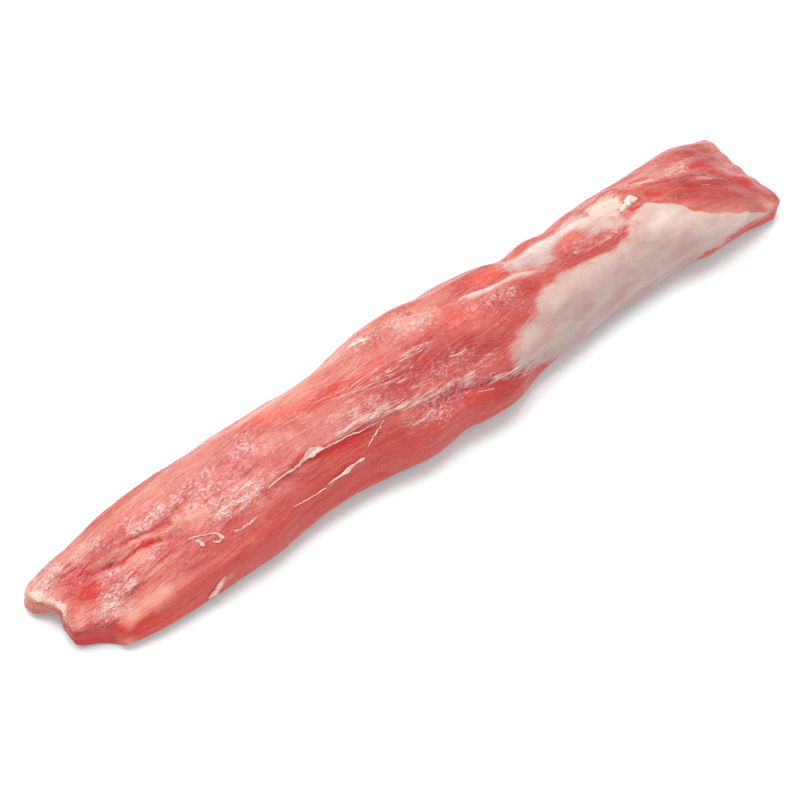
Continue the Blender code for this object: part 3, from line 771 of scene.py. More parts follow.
@dataclass(frozen=True)
class SkinCover:
    """Where the silverskin lies: between an upper and a lower edge, each given as the turn at each place."""

    upper: Knots = (
        (0.540, 142), (0.555, 131), (0.578, 129), (0.603, 124), (0.616, 115), (0.642, 106), (0.658, 101),
        (0.685, 107), (0.709, 108), (0.733, 111), (0.758, 107), (0.775, 98), (0.803, 88), (0.822, 94),
        (0.843, 106), (0.848, 115), (0.867, 124), (0.907, 140), (0.961, 156), (0.992, 164),
    )
    lower: Knots = (
        (0.540, 150), (0.560, 164), (0.600, 184), (0.640, 196), (0.700, 206), (0.780, 208), (0.820, 200),
        (0.856, 180), (0.885, 176), (0.905, 171), (0.925, 163), (0.955, 160), (0.992, 161),
    )
    start: float = 0.547
    softness: Knots = ((0.53, 8.0), (0.60, 6.0), (0.68, 3.8), (0.76, 2.6), (0.82, 1.7), (1.00, 1.0))
    mm_per_degree: float = 0.45
    thin_film: Sequence[Stroke] = (
        Stroke(
            ((0.606, 76), (0.637, 75), (0.664, 72), (0.693, 70), (0.720, 70), (0.742, 75), (0.765, 84)),
            6.5, 0.9
        ),
        Stroke(((0.645, 84), (0.660, 88), (0.676, 88)), 3.4, 0.8),
        Stroke(((0.730, 84), (0.755, 88), (0.780, 92)), 3.6, 0.8),
        Stroke(
            ((0.541, 77), (0.561, 80), (0.579, 84), (0.597, 87), (0.619, 86), (0.633, 90), (0.655, 93)),
            1.5, 0.9
        ),
    )
    torn: Sequence[Stroke] = (
        Stroke(((0.662, 92), (0.684, 96), (0.703, 100), (0.726, 103), (0.757, 107)), 3.0, 1.0),
        Stroke(((0.688, 84), (0.706, 81), (0.722, 80)), 2.6, 0.9),
        Stroke(((0.636, 104), (0.655, 101)), 3.0, 0.4),
    )

    def read(self, finder: PathFinder, at: Array) -> Array:
        """Finds how fully the skin covers each point, from its distance inside both edges.

        Args:
            finder: the surface's points and turns.
            at: each point's share of the length.

        Returns:
            Cover from 0 to 1.
        """
        above = (finder.turn - smooth(at, self.upper)) * self.mm_per_degree
        below = (smooth(at, self.lower) - finder.turn) * self.mm_per_degree
        inside = np.minimum(np.minimum(above, below), (at - self.start) * finder.form.length)
        softness = smooth(at, self.softness)
        cover = step(inside / softness, -1.0, 1.0)
        cover = 1.0 - (1.0 - cover) * (1.0 - finder.painted(self.thin_film))
        return cover * (1.0 - finder.painted(self.torn))


def loft_faces(rings: int, around: int) -> tuple[Array, Array]:
    """Numbers the faces of a closed loft: quads between neighbouring rings, and a fan over each end.

    Args:
        rings: how many rings there are.
        around: how many points a ring has. The two end points come after all the rings.

    Returns:
        The quads, and the triangles of the two fans.
    """
    row = np.arange(rings - 1)[:, None] * around
    here = np.arange(around)
    after = (here + 1) % around
    quads = np.stack([row + here, row + after, row + around + after, row + around + here], axis=-1)
    last = (rings - 1) * around
    start_fan = np.stack([after, here, np.full(around, rings * around)], axis=-1)
    end_fan = np.stack([last + here, last + after, np.full(around, rings * around + 1)], axis=-1)
    return quads.reshape(-1, 4), np.concatenate([start_fan, end_fan])


def loft_mesh(name: str, lofts: Array, poles: Array) -> bpy.types.Mesh:
    """Makes one mesh of closed lofts that are alike in their counts.

    Args:
        name: the mesh's name.
        lofts: points in millimetres, as loft, ring, place round the ring, and axis.
        poles: the two end points of each loft.

    Returns:
        The mesh, in metres, with its faces outwards and shaded smooth.
    """
    count, rings, around, _ = lofts.shape
    points = np.concatenate([lofts.reshape(count, -1, 3), poles], axis=1)
    quads, fans = loft_faces(rings, around)
    corner = points[0][fans]
    square = points[0][quads]
    volume = np.einsum("ij,ij->", corner[:, 0], np.cross(corner[:, 1], corner[:, 2]))
    volume += np.einsum("ij,ij->", square[:, 0], np.cross(square[:, 1], square[:, 2]))
    volume += np.einsum("ij,ij->", square[:, 0], np.cross(square[:, 2], square[:, 3]))
    if volume < 0.0:
        quads, fans = quads[:, ::-1], fans[:, ::-1]
    shift = (np.arange(count) * points.shape[1])[:, None, None]
    quads = (quads[None] + shift).reshape(-1, 4)
    fans = (fans[None] + shift).reshape(-1, 3)
    mesh = bpy.data.meshes.new(name)
    mesh.vertices.add(count * points.shape[1])
    mesh.vertices.foreach_set("co", (points * MM).astype(np.float32).ravel())
    mesh.loops.add(quads.size + fans.size)
    mesh.loops.foreach_set("vertex_index", np.concatenate([quads.ravel(), fans.ravel()]).astype(np.int32))
    starts = np.concatenate([np.arange(len(quads)) * 4, quads.size + np.arange(len(fans)) * 3])
    mesh.polygons.add(len(starts))
    mesh.polygons.foreach_set("loop_start", starts.astype(np.int32))
    mesh.update(calc_edges=True)
    mesh.shade_smooth()
    return mesh


def add_attribute(mesh: bpy.types.Mesh, name: str, values: Array) -> None:
    """Stores one number, or three, for each vertex of a mesh."""
    kind, key = ("FLOAT", "value") if values.ndim == 1 else ("FLOAT_VECTOR", "vector")
    layer = mesh.attributes.new(name, kind, "POINT")
    layer.data.foreach_set(key, values.astype(np.float32).ravel())


def link(name: str, data: bpy.types.ID) -> bpy.types.Object:
    """Puts a mesh, lamp or camera in the scene, as an object of that name."""
    thing = bpy.data.objects.new(name, data)
    bpy.context.scene.collection.objects.link(thing)
    return thing


def add_piece(mesh: bpy.types.Mesh, material: bpy.types.Material) -> bpy.types.Object:
    """Shows a mesh as a piece of the tenderloin, which rides on its body and stands for its solid.

    Args:
        mesh: the piece's mesh, in place.
        material: its finish.

    Returns:
        The new object.
    """
    mesh.materials.append(material)
    piece = link(mesh.name, mesh)
    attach(piece, BODY)
    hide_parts(NODE)
    LOG.info("%s: %d vertices, %d faces", piece.name, len(mesh.vertices), len(mesh.polygons))
    return piece


@dataclass
class MuscleBody:
    """The muscle's whole surface as one fine grid, with its fibres, creases, skin edge and wet grain."""

    form: MuscleForm = field(default_factory=MuscleForm)
    cover: SkinCover = field(default_factory=SkinCover)
    rings: int = 436
    end_rings: int = 17
    end_samples: int = 500
    ring_points: int = 208
    top_crowding: float = 0.45
    end_width: float = 20.0
    grain_width: float = 27.0
    grain_height: float = 20.0
    fan_start: float = 0.775
    fan_middle: float = 7.0
    fan_reach: float = 60.0
    wander_seeds: tuple[int, ...] = (101, 102, 103)
    wander_cell: Triple = (7.0, 3.0, 3.0)
    wander_reach: Triple = (2.6, 1.3, 1.3)
    wander_turn: float = 3.0
    wander_at: float = 0.004
    wander_grain: float = 0.8
    flank_turns: Edges = (118.0, 168.0, 300.0, 350.0)
    near_turns: Edges = (96.0, 124.0, 250.0, 290.0)
    end_wall: Range = (0.02, 0.25)
    fibres: Texture = Texture(11, 2, (24.0, 1.9, 1.9), 0.24)
    bundles: Texture = Texture(23, 2, (60.0, 6.5, 6.5), 0.42)
    lumps: Texture = Texture(31, 3, (10.0, 7.0, 7.0), 0.38)
    wrinkles: Texture = Texture(71, 3, (6.0, 2.0, 2.0), 0.5)
    frost_grain: Texture = Texture(47, 2, (2.0, 1.5, 1.5), 0.24)
    fat_grain: Texture = Texture(59, 2, (2.2, 1.9, 1.9), 0.45)
    long_waves: Texture = Texture(3, 1, (30.0, 9.0, 9.0), 0.1)
    wrinkle_end: float = 0.26
    least_wrinkles: float = 0.15
    least_frost: float = 0.2
    skin_thickness: float = 0.34
    skin_smoothness: float = 0.75
    skin_edge: Range = (0.1, 0.7)
    relief_growth: float = 1.5
    fine_creases: int = 240
    crease_seed: int = 8
    crease_at: Range = (0.03, 0.95)
    crease_length: Range = (0.03, 0.11)
    crease_tilt: float = 4.0
    crease_depth: Range = (-0.14, 0.38)
    crease_width: Range = (0.5, 1.0)
    at: Array = field(init=False)
    turn: Array = field(init=False)
    points: Array = field(init=False)
    normals: Array = field(init=False)
    masks: dict[str, Array] = field(init=False)
    grain: Array = field(init=False)
    hollow: Array = field(init=False)

    def __post_init__(self) -> None:
        """Works out the grid, its masks and its relief."""
        at, fullness = self.ring_places()
        spin = np.linspace(-np.pi / 2, 1.5 * np.pi, self.ring_points, endpoint=False)
        self.turn = np.degrees(spin + self.top_crowding * np.cos(spin))
        self.at = at
        shape = (len(at), self.ring_points)
        flat_at = np.repeat(at, self.ring_points)
        flat_turn = np.tile(self.turn, len(at)) % FULL_TURN
        flat_full = np.repeat(fullness, self.ring_points)
        base = self.form.plain(flat_at, flat_turn, flat_full)
        relief = self.solid_relief(flat_at, flat_turn) * flat_full
        solid = base + self.form.outward(flat_at, flat_turn) * relief[:, None]
        solid = self.form.lift_tail(solid, flat_at)
        low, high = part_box(NODE)
        middle = (solid.min(axis=0) + solid.max(axis=0)) / 2
        box_middle = (np.array(low) + np.array(high)) / 2 / MM
        solid[:, :2] += (box_middle - middle)[:2]
        self.paint(base, flat_at, flat_turn, flat_full)
        self.normals = self.grid_normals(solid.reshape(*shape, 3))
        fine = self.fine_relief(base, flat_at, flat_turn)
        self.hollow = fine - self.long_waves.read(self.grain)
        fine = (fine * np.minimum(flat_full * self.relief_growth, 1.0)).reshape(shape)
        self.points = solid.reshape(*shape, 3) + self.normals * fine[..., None]
        self.points[..., 2] = np.maximum(self.points[..., 2], 0.0)

    def ring_places(self) -> tuple[Array, Array]:
        """Spreads rings evenly along the muscle, and evenly over its blunt, rounded ends.

        Returns:
            Each ring's share of the length, and how full it is.
        """
        angle = np.linspace(0.0, np.pi / 2, self.end_samples)
        full = rounded(np.sin(angle), self.form.end_bluntness)
        inset = 1.0 - rounded(np.cos(angle), self.form.end_bluntness)
        tail = self.form.tail_rounding / self.form.length
        head = self.form.head_rounding / self.form.length
        walk = np.hypot(np.diff(full) * self.end_width, np.diff(inset) * self.form.tail_rounding)
        walked = np.concatenate([[0.0], np.cumsum(walk)])
        stops = np.linspace(0.0, walked[-1], self.end_rings + 1)[1:]
        end_full, end_inset = np.interp(stops, walked, full), np.interp(stops, walked, inset)
        middle = np.linspace(tail, 1.0 - head, self.rings + 2)[1:-1]
        at = np.concatenate([tail * end_inset, middle, 1.0 - head * end_inset[::-1]])
        fullness = np.concatenate([end_full, np.ones(self.rings), end_full[::-1]])
        return at, fullness

    def solid_relief(self, at: Array, turn: Array) -> Array:
        """Sums the bundles, swells, seams and lips that the solid has too."""
        points = self.form.plain(at, turn)
        finder = PathFinder(self.form, points, turn)
        total = self.form.bundle_swell(points)
        for swell in SWELLS:
            offset = points - self.form.plain(np.array([swell.at]), np.array([float(swell.turn)]))[0]
            sideways = np.hypot(offset[:, 1], offset[:, 2]) / swell.width
            total += swell.height * np.exp(-((offset[:, 0] / swell.length) ** 2) - sideways**2)
        return total + finder.bumps(SEAMS) + finder.steps(LIPS)

    def paint(self, base: Array, at: Array, turn: Array, fullness: Array) -> None:
        """Works out every layer's mask, with edges that wander, and the grain's own coordinates.

        The grain runs along the muscle, and from fan_start on it spreads out like a fan towards the head.

        Args:
            base: the points before their relief.
            at: each point's share of the length.
            turn: each point's angle.
            fullness: how full each point's ring is.
        """
        noises = [LatticeNoise(seed, 3).stretched(base, self.wander_cell) for seed in self.wander_seeds]
        wander = np.stack(noises, axis=1)
        strayed = base + wander * np.array(self.wander_reach)
        ragged = PathFinder(self.form, strayed, turn + self.wander_turn * wander[:, 0])
        self.masks = {layer.value: ragged.painted(strokes) for layer, strokes in STROKES.items()}
        self.masks[Layer.SKIN.value] = self.cover.read(ragged, at + self.wander_at * wander[:, 1])
        self.masks[Layer.FLANK.value] = band(turn, self.flank_turns)
        tail_wall = step(1.0 - fullness, *self.end_wall) * (at < 0.5)
        near_half = band(turn, self.near_turns)
        far_half = 1.0 - near_half
        # The tail's end wall: dark red on its near half, pale and orange-red on its far half; the pale is
        # partly painted light.
        shares = {Layer.DEEP_RED_AND_SHADE: 0.9 * near_half, Layer.PALE_AND_PAINTED_LIGHT: 0.45 * far_half, Layer.GLOW: 0.35 * far_half}
        for layer, share in shares.items():
            self.masks[layer.value] = np.maximum(self.masks[layer.value], tail_wall * share)
        angle = np.radians(turn)
        fan = 1.0 + np.clip((at - self.fan_start) * self.form.length / self.fan_reach, 0.0, None)
        across = self.grain_width * np.cos(angle) * fullness
        across = self.fan_middle + (across - self.fan_middle) / fan
        up = self.grain_height * np.sin(angle) * fullness / fan
        self.grain = np.stack([at * self.form.length, across, up], axis=1)
        self.grain[:, 1:] += self.wander_grain * wander[:, 1:]

    def random_creases(self) -> list[Groove]:
        """Draws short creases that run with the fibres, all over the muscle."""
        rng = np.random.default_rng(self.crease_seed)
        creases = []
        for _ in range(self.fine_creases):
            at, turn = rng.uniform(*self.crease_at), rng.uniform(0.0, FULL_TURN)
            length, tilt = rng.uniform(*self.crease_length), rng.normal(0.0, self.crease_tilt)
            path = ((at, turn), (at + length / 2, turn + tilt * 0.3), (at + length, turn + tilt))
            creases.append(Groove(path, rng.uniform(*self.crease_depth), rng.uniform(*self.crease_width)))
        return creases

    def fine_relief(self, base: Array, at: Array, turn: Array) -> Array:
        """Sums what is finer than the solid: fibres, lumps, creases, frost grain, fat grain and the skin.

        Args:
            base: the points before their relief.
            at: each point's share of the length.
            turn: each point's angle.

        Returns:
            Heights in millimetres.
        """
        skin, frost, fat = (self.masks[layer.value] for layer in (Layer.SKIN, Layer.FROST_AND_SHEEN, Layer.FAT))
        bare = 1.0 - self.skin_smoothness * skin
        finder = PathFinder(self.form, base, turn)
        total = self.fibres.read(self.grain) * bare
        total += self.bundles.read(self.grain) * bare
        total += self.lumps.read(base)
        wrinkled = self.least_wrinkles + step(at, self.wrinkle_end, 0.0)
        wrinkled = wrinkled * (1.0 - self.masks[Layer.FLANK.value]) * bare
        total += self.wrinkles.read(self.grain) * wrinkled
        total += self.frost_grain.read(base) * (self.least_frost + frost) * bare
        total += self.fat_grain.read(base) * fat
        total += self.skin_thickness * step(skin, *self.skin_edge)
        total += finder.bumps(CREASES) + finder.bumps(self.random_creases()) * bare
        return total

    @staticmethod
    def grid_normals(points: Array) -> Array:
        """Finds each grid point's normal, square to its neighbours along and around."""
        along = np.gradient(points, axis=0)
        around = np.roll(points, -1, axis=1) - np.roll(points, 1, axis=1)
        normal = unit(np.cross(around, along))
        outward = points - points.mean(axis=1, keepdims=True)
        return normal * np.sign((normal * outward).sum())

    def place(self, at: Array, turn: Array) -> tuple[Array, Array]:
        """Finds places on the finished surface, blended from the grid's four nearest points.

        Args:
            at: shares of the length.
            turn: angles in degrees.

        Returns:
            Points and outward normals.
        """
        first = self.turn[0]
        row = np.clip(np.interp(at, self.at, np.arange(len(self.at))), 0, len(self.at) - 1.001)
        wrapped = (turn - first) % FULL_TURN + first
        turns = np.append(self.turn, first + FULL_TURN)
        column = np.interp(wrapped, turns, np.arange(self.ring_points + 1))
        ring, start = row.astype(int), column.astype(int) % self.ring_points
        end = (start + 1) % self.ring_points
        along, around = (row - ring)[..., None], (column - np.floor(column))[..., None]

        def blend(grid: Array) -> Array:
            """Blends one grid's values."""
            near = grid[ring, start] * (1 - around) + grid[ring, end] * around
            far = grid[ring + 1, start] * (1 - around) + grid[ring + 1, end] * around
            return near * (1 - along) + far * along

        return blend(self.points), unit(blend(self.normals))

    def build(self, material: bpy.types.Material) -> bpy.types.Object:
        """Makes the muscle's piece, with its masks as attributes."""
        poles = self.points[[0, -1]].mean(axis=1)
        mesh = loft_mesh("tenderloin_muscle", self.points[None], poles[None])
        for name, values in {**self.masks, "hollow": self.hollow, "grain": self.grain}.items():
            first, last = values[: self.ring_points], values[-self.ring_points :]
            ends = np.stack([first.mean(axis=0), last.mean(axis=0)])
            add_attribute(mesh, name, np.concatenate([values, ends]))
        return add_piece(mesh, material)


class Wire:
    """A shader value that plain arithmetic can be written with."""

    def __init__(self, graph: "NodeGraph", socket: bpy.types.NodeSocket) -> None:
        """Wraps a socket of a graph."""
        self.graph = graph
        self.socket = socket

    def __add__(self, other: "Wire | float") -> "Wire":
        """self + other."""
        return self.graph.maths("ADD", self, other)

    __radd__ = __add__

    def __mul__(self, other: "Wire | float") -> "Wire":
        """self * other."""
        return self.graph.maths("MULTIPLY", self, other)

    __rmul__ = __mul__

    def __sub__(self, other: "Wire | float") -> "Wire":
        """self - other."""
        return self.graph.maths("SUBTRACT", self, other)

    def __rsub__(self, other: "Wire | float") -> "Wire":
        """other - self."""
        return self.graph.maths("SUBTRACT", other, self)

    def __abs__(self) -> "Wire":
        """The value without its sign."""
        return self.graph.maths("ABSOLUTE", self)

    def between(self, low: float, high: float) -> "Wire":
        """Rises smoothly from 0 at low to 1 at high."""
        node = self.graph.add(
            "ShaderNodeMapRange",
            {"interpolation_type": "SMOOTHSTEP"},
            {"Value": self, "From Min": low, "From Max": high},
        )
        return Wire(self.graph, node.outputs[0])


class NodeGraph:
    """A material's node tree, built by one method that adds nodes."""

    def __init__(self, name: str) -> None:
        """Starts a material of that name with an empty tree."""
        self.material = bpy.data.materials.new(name)
        self.material.use_nodes = True
        self.tree = self.material.node_tree
        self.tree.nodes.clear()

    def add(self, kind: str, settings: dict | None = None, values: dict | None = None) -> bpy.types.Node:
        """Adds a node.

        Args:
            kind: the node's type.
            settings: its properties, which are set first.
            values: for each input by name or number, a Wire to link or a value to set.

        Returns:
            The node.
        """
        node = self.tree.nodes.new(kind)
        for name, setting in (settings or {}).items():
            setattr(node, name, setting)
        for key, value in (values or {}).items():
            if isinstance(value, Wire):
                self.tree.links.new(value.socket, node.inputs[key])
            else:
                node.inputs[key].default_value = value
        return node

    def maths(self, operation: str, *operands: Wire | float) -> Wire:
        """Adds one Math node."""
        node = self.add("ShaderNodeMath", {"operation": operation}, dict(enumerate(operands)))
        return Wire(self, node.outputs[0])

    def attribute(self, name: str, output: str = "Fac") -> Wire:
        """Reads an attribute of the piece."""
        return Wire(self, self.add("ShaderNodeAttribute", {"attribute_name": name}).outputs[output])

    def position(self) -> Wire:
        """Reads the object's own coordinates, in millimetres."""
        here = Wire(self, self.add("ShaderNodeTexCoord").outputs["Object"])
        return self.scaled(here, (1 / MM,) * 3)

    def scaled(self, vector: Wire, scale: Triple) -> Wire:
        """Multiplies a vector by a constant one."""
        node = self.add("ShaderNodeVectorMath", {"operation": "MULTIPLY"}, {0: vector, 1: scale})
        return Wire(self, node.outputs[0])

    def noise(self, vector: Wire, cell: Triple, detail: float = 2.0, roughness: float = 0.5) -> Wire:
        """Reads a noise whose cell has that size along each axis."""
        stretched = self.scaled(vector, tuple(1.0 / size for size in cell))
        values = {"Vector": stretched, "Scale": 1.0, "Detail": detail, "Roughness": roughness}
        return Wire(self, self.add("ShaderNodeTexNoise", None, values).outputs[0])

    def curls(self, vector: Wire, cell: Triple, detail: float = 2.0) -> Wire:
        """Folds a noise about its middle, so that it is 1 along thin curling lines."""
        return 1.0 - abs(2.0 * self.noise(vector, cell, detail) - 1.0)

    def mix(self, first: Wire | Colour, second: Wire | Colour, share: Wire | float) -> Wire:
        """Mixes two colours."""
        sides = [side if isinstance(side, Wire) else (*side, 1.0) for side in (first, second)]
        settings = {"data_type": "RGBA", "clamp_factor": True}
        node = self.add("ShaderNodeMix", settings, {0: share, 6: sides[0], 7: sides[1]})
        return Wire(self, node.outputs[2])

    def surface(
        self, colour: Wire, roughness: Wire, height: Wire, fixed: dict, coat: Wire | None = None
    ) -> None:
        """Ends the tree in one Principled shader.

        Args:
            colour: the base colour.
            roughness: the roughness.
            height: the bump's height, in millimetres.
            fixed: the shader's own constant values.
            coat: the coat's weight, if it varies.
        """
        bump = self.add("ShaderNodeBump", None, {"Height": height, "Distance": MM, "Strength": 1.0})
        values = {"Base Color": colour, "Roughness": roughness, **fixed}
        values["Normal"] = Wire(self, bump.outputs[0])
        if coat is not None:
            values["Coat Weight"] = coat
        shader = self.add("ShaderNodeBsdfPrincipled", None, values)
        out = self.add("ShaderNodeOutputMaterial")
        self.tree.links.new(shader.outputs[0], out.inputs[0])


WET = {
    "Subsurface Weight": 0.14,
    "Subsurface Radius": (1.0, 0.35, 0.25),
    "Subsurface Scale": 0.002,
    "Specular IOR Level": 0.22,
    "Coat Roughness": 0.07,
    "Coat IOR": 1.40,
}


class MuscleGraph(NodeGraph):
    """The muscle's node tree, with its masks, and the noises on its grain or in space, each added once.

    A noise's cell is in millimetres. Its values run from 0 to 1, and those of tear and wisp run about 0.
    """

    def __init__(self) -> None:
        """Reads the masks, adds the noises, and works out what several colours share."""
        super().__init__("raw_muscle")
        self.masks = {layer: self.attribute(layer.value) for layer in Layer}
        self.relief = self.attribute("hollow")
        self.top = 1.0 - self[Layer.FLANK]
        grain, here = self.attribute("grain", "Vector"), self.position()
        self.fibre = self.noise(grain, (6.0, 1.0, 1.0), 3.0, 0.6)
        self.thread = self.noise(grain, (5.5, 0.6, 0.6), 2.0, 0.5)
        self.strand = self.noise(grain, (45.0, 3.2, 3.2), 3.0, 0.55)
        self.sheen = self.noise(grain, (12.0, 5.0, 5.0), 4.0, 0.6)
        self.fleck = self.noise(grain, (1.6, 0.85, 0.85), 3.0, 0.65)
        self.dash = self.fleck.between(0.53, 0.62)
        self.curl = self.curls(grain, (3.0, 1.3, 1.3), 2.5).between(0.84, 0.98)
        self.crease = self.curls(grain, (16.0, 1.9, 1.9), 2.0).between(0.90, 0.99)
        self.tear = self.noise(grain, (7.0, 1.3, 1.3), 4.0, 0.65) - 0.5
        self.wisp = self.noise(grain, (18.0, 1.1, 1.1), 3.0, 0.6) - 0.5
        self.blotch = self.noise(here, (14.0, 9.0, 9.0), 3.0, 0.55)
        self.mottle = self.noise(here, (13.0, 8.0, 8.0), 5.0, 0.55)
        self.cloud = self.noise(here, (30.0, 14.0, 14.0), 3.0)
        self.clump = self.noise(here, (6.0, 4.0, 4.0), 3.0, 0.6).between(0.44, 0.60)
        self.grit = self.noise(here, (1.3, 1.0, 1.0), 3.0, 0.6)
        # Where the frost's painted sheen and glints go, with a few more painted glints on the top, where the
        # light falls.
        self.frosted = self[Layer.FROST_AND_SHEEN] * (0.35 + 0.9 * self.clump)
        self.glint_cover = self.frosted + (0.05 + 0.05 * self.top) * (1.0 - self[Layer.RUDDY_AND_SHADE])
        film = (self[Layer.FILM] + 1.7 * self.tear + 1.6 * self.wisp).between(0.42, 0.95)
        self.film = film * (0.35 + 0.65 * self.thread.between(0.42, 0.56))
        ragged = self[Layer.SKIN] + 0.7 * self.tear + 0.45 * self.wisp + 0.5 * (self.mottle - 0.5)
        self.skin = ragged.between(0.15, 0.85)

    def __getitem__(self, layer: Layer) -> Wire:
        """Reads a layer's mask."""
        return self.masks[layer]


@dataclass(frozen=True)
class MuscleFinish:
    """Wet raw muscle: fibres in two reds, and every layer of frost, film, skin, fat and vein on it.

    Some of its colour is painted light: shade on the flanks, in creases and hollows, under flaps and on the
    head's facet, and highlight, sheen and glints on the far rim, the roll and the frost.
    """

    lean: Colour = srgb(188, 80, 71)
    lean_dark: Colour = srgb(168, 46, 42)
    lean_light: Colour = srgb(208, 120, 107)
    # The flank tones make the near side, the underside and the far lower side darker and redder: partly the
    # meat's own deeper red there, partly painted shade.
    flank: Colour = srgb(188, 63, 55)
    flank_dark: Colour = srgb(178, 50, 44)
    # Darker red, partly painted shade on the head's cut facet.
    ruddy: Colour = srgb(154, 36, 34)
    # Dark red, for the wet hollows and red bands, and as painted shade in creases, in dips of the relief and
    # under flaps.
    deep: Colour = srgb(192, 40, 37)
    # Pale peach, partly painted highlight on the far rim and the crest of the far roll.
    pale: Colour = srgb(219, 153, 133)
    glow: Colour = srgb(216, 80, 63)
    # The frost's pale pink is partly painted sheen, and the near-white after it is for painted glints.
    frost: Colour = srgb(208, 134, 126)
    glint_white: Colour = srgb(246, 220, 220)
    film: Colour = srgb(228, 186, 180)
    skin: Colour = srgb(198, 169, 158)
    skin_pink: Colour = srgb(184, 141, 135)
    skin_light: Colour = srgb(198, 181, 172)
    # Grey clouds the skin at random, and on its lower, flank side it is painted shade; the white is partly
    # painted light near the skin's upper edge.
    skin_shade: Colour = srgb(164, 142, 142)
    skin_white: Colour = srgb(228, 208, 200)
    fat: Colour = srgb(236, 216, 200)
    fat_yellow: Colour = srgb(232, 204, 182)
    vein: Colour = srgb(160, 44, 54)
    vein_light: Colour = srgb(222, 160, 166)

    def meat(self, graph: MuscleGraph) -> Wire:
        """Colours the bare meat: two reds along its fibres, then its ruddy, glowing and pale places and its
        creases.

        The darker flank and the ruddy head facet are partly painted shade, the darkened creases are painted
        shade, and the pale far rim and roll crest are partly painted highlight.

        Args:
            graph: the muscle's node tree.

        Returns:
            The colour.
        """
        # Partly painted shade: the flank is darker and redder, and the lighter fibres and blotches fade out
        # on it, so the top stays lighter.
        flank = graph[Layer.FLANK]
        dark = graph.mix(self.lean_dark, self.flank_dark, flank)
        colour = graph.mix(self.lean, self.flank, flank)
        colour = graph.mix(colour, dark, graph.strand.between(0.45, 0.66) * 0.4)
        colour = graph.mix(colour, self.lean_light, graph.fibre.between(0.48, 0.70) * (0.4 - 0.3 * flank))
        colour = graph.mix(colour, dark, (1.0 - graph.thread).between(0.52, 0.72) * 0.25)
        colour = graph.mix(colour, self.lean_light, graph.blotch.between(0.45, 0.7) * (0.55 - 0.5 * flank))
        # Partly painted shade: the head's cut facet is darkened with the ruddy red.
        ruddy = graph[Layer.RUDDY_AND_SHADE] * (0.85 + 0.9 * (graph.blotch - 0.5) + 1.2 * graph.tear)
        colour = graph.mix(colour, self.ruddy, ruddy)
        light = graph[Layer.RUDDY_AND_SHADE] * graph.fibre.between(0.56, 0.70)
        colour = graph.mix(colour, self.lean_light, light * 0.2)
        colour = graph.mix(colour, self.glow, graph[Layer.GLOW] * 0.85)
        # Partly painted highlight: the pale far rim and the crest of the far roll.
        colour = graph.mix(colour, self.pale, graph[Layer.PALE_AND_PAINTED_LIGHT] * (0.78 + 0.9 * (graph.blotch - 0.5)))
        # Painted shade: the fine creases are darkened on the top, less where the meat is pale.
        crease_shade = graph.crease * (0.2 + 0.25 * graph[Layer.FROST_AND_SHEEN]) * graph.top
        return graph.mix(colour, dark, crease_shade * (1.0 - 0.7 * graph[Layer.PALE_AND_PAINTED_LIGHT]))

    def glazed(self, graph: MuscleGraph, colour: Wire) -> Wire:
        """Lays the frosty glaze, the torn films and the deep red hollows over the meat.

        The glaze's white specks are painted glints and its pale pink partly painted sheen, and the dark red
        is partly painted shade along creases and under flaps.

        Args:
            graph: the muscle's node tree.
            colour: the meat's colour.

        Returns:
            The colour with them.
        """
        # Painted sheen and glints: the frost's pale pink, and white specks and curls laid into the colour.
        speckled = 0.24 + 0.42 * graph.fleck.between(0.42, 0.56)
        colour = graph.mix(colour, self.frost, graph.frosted * speckled)
        colour = graph.mix(colour, self.glint_white, graph.glint_cover * (0.55 * graph.dash + 0.35 * graph.curl))
        colour = graph.mix(colour, self.glint_white, graph.glint_cover * 0.5 * graph.grit.between(0.54, 0.66))
        colour = graph.mix(colour, self.film, graph.film)
        # The dark red: partly the meat's own, partly painted shade along creases and under flaps.
        deep = (graph[Layer.DEEP_RED_AND_SHADE] + graph.tear * 0.9 + 0.7 * (graph.grit - 0.5)).between(0.12, 0.88)
        colour = graph.mix(colour, self.deep, deep * 0.9 * (1.0 - 0.5 * graph.dash * graph[Layer.FROST_AND_SHEEN]))
        # More painted glints: white grit on the frost patches.
        return graph.mix(colour, self.glint_white, graph[Layer.FROST_AND_SHEEN] * 0.7 * graph.grit.between(0.60, 0.68))

    def skin_tone(self, graph: MuscleGraph) -> Wire:
        """Clouds the silverskin's tone with pink, grey, light and white.

        The light streaks are painted sheen, the grey on its lower, flank side is painted shade, and the white
        near its upper edge is partly painted light.

        Args:
            graph: the muscle's node tree.

        Returns:
            The colour.
        """
        tone = graph.mix(self.skin, self.skin_shade, graph.cloud.between(0.40, 0.68) * 0.7)
        tone = graph.mix(tone, self.skin_pink, (1.0 - graph.mottle).between(0.42, 0.74) * 0.6)
        tone = graph.mix(tone, self.skin_light, graph.sheen.between(0.40, 0.74) * 0.7)
        # Painted shade: the silverskin is greyer on its lower, flank side.
        tone = graph.mix(tone, self.skin_shade, graph[Layer.FLANK] * 0.5)
        tone = graph.mix(tone, self.skin_pink, graph.grit.between(0.50, 0.64) * 0.25)
        tone = graph.mix(tone, self.skin_white, graph.fleck.between(0.54, 0.68) * 0.14)
        # Partly painted light: whiter along the skin's upper part, where the pale strokes run, partly its
        # thin white film.
        return graph.mix(tone, self.skin_white, graph[Layer.PALE_AND_PAINTED_LIGHT] * (0.66 + 1.4 * (graph.mottle - 0.5)))

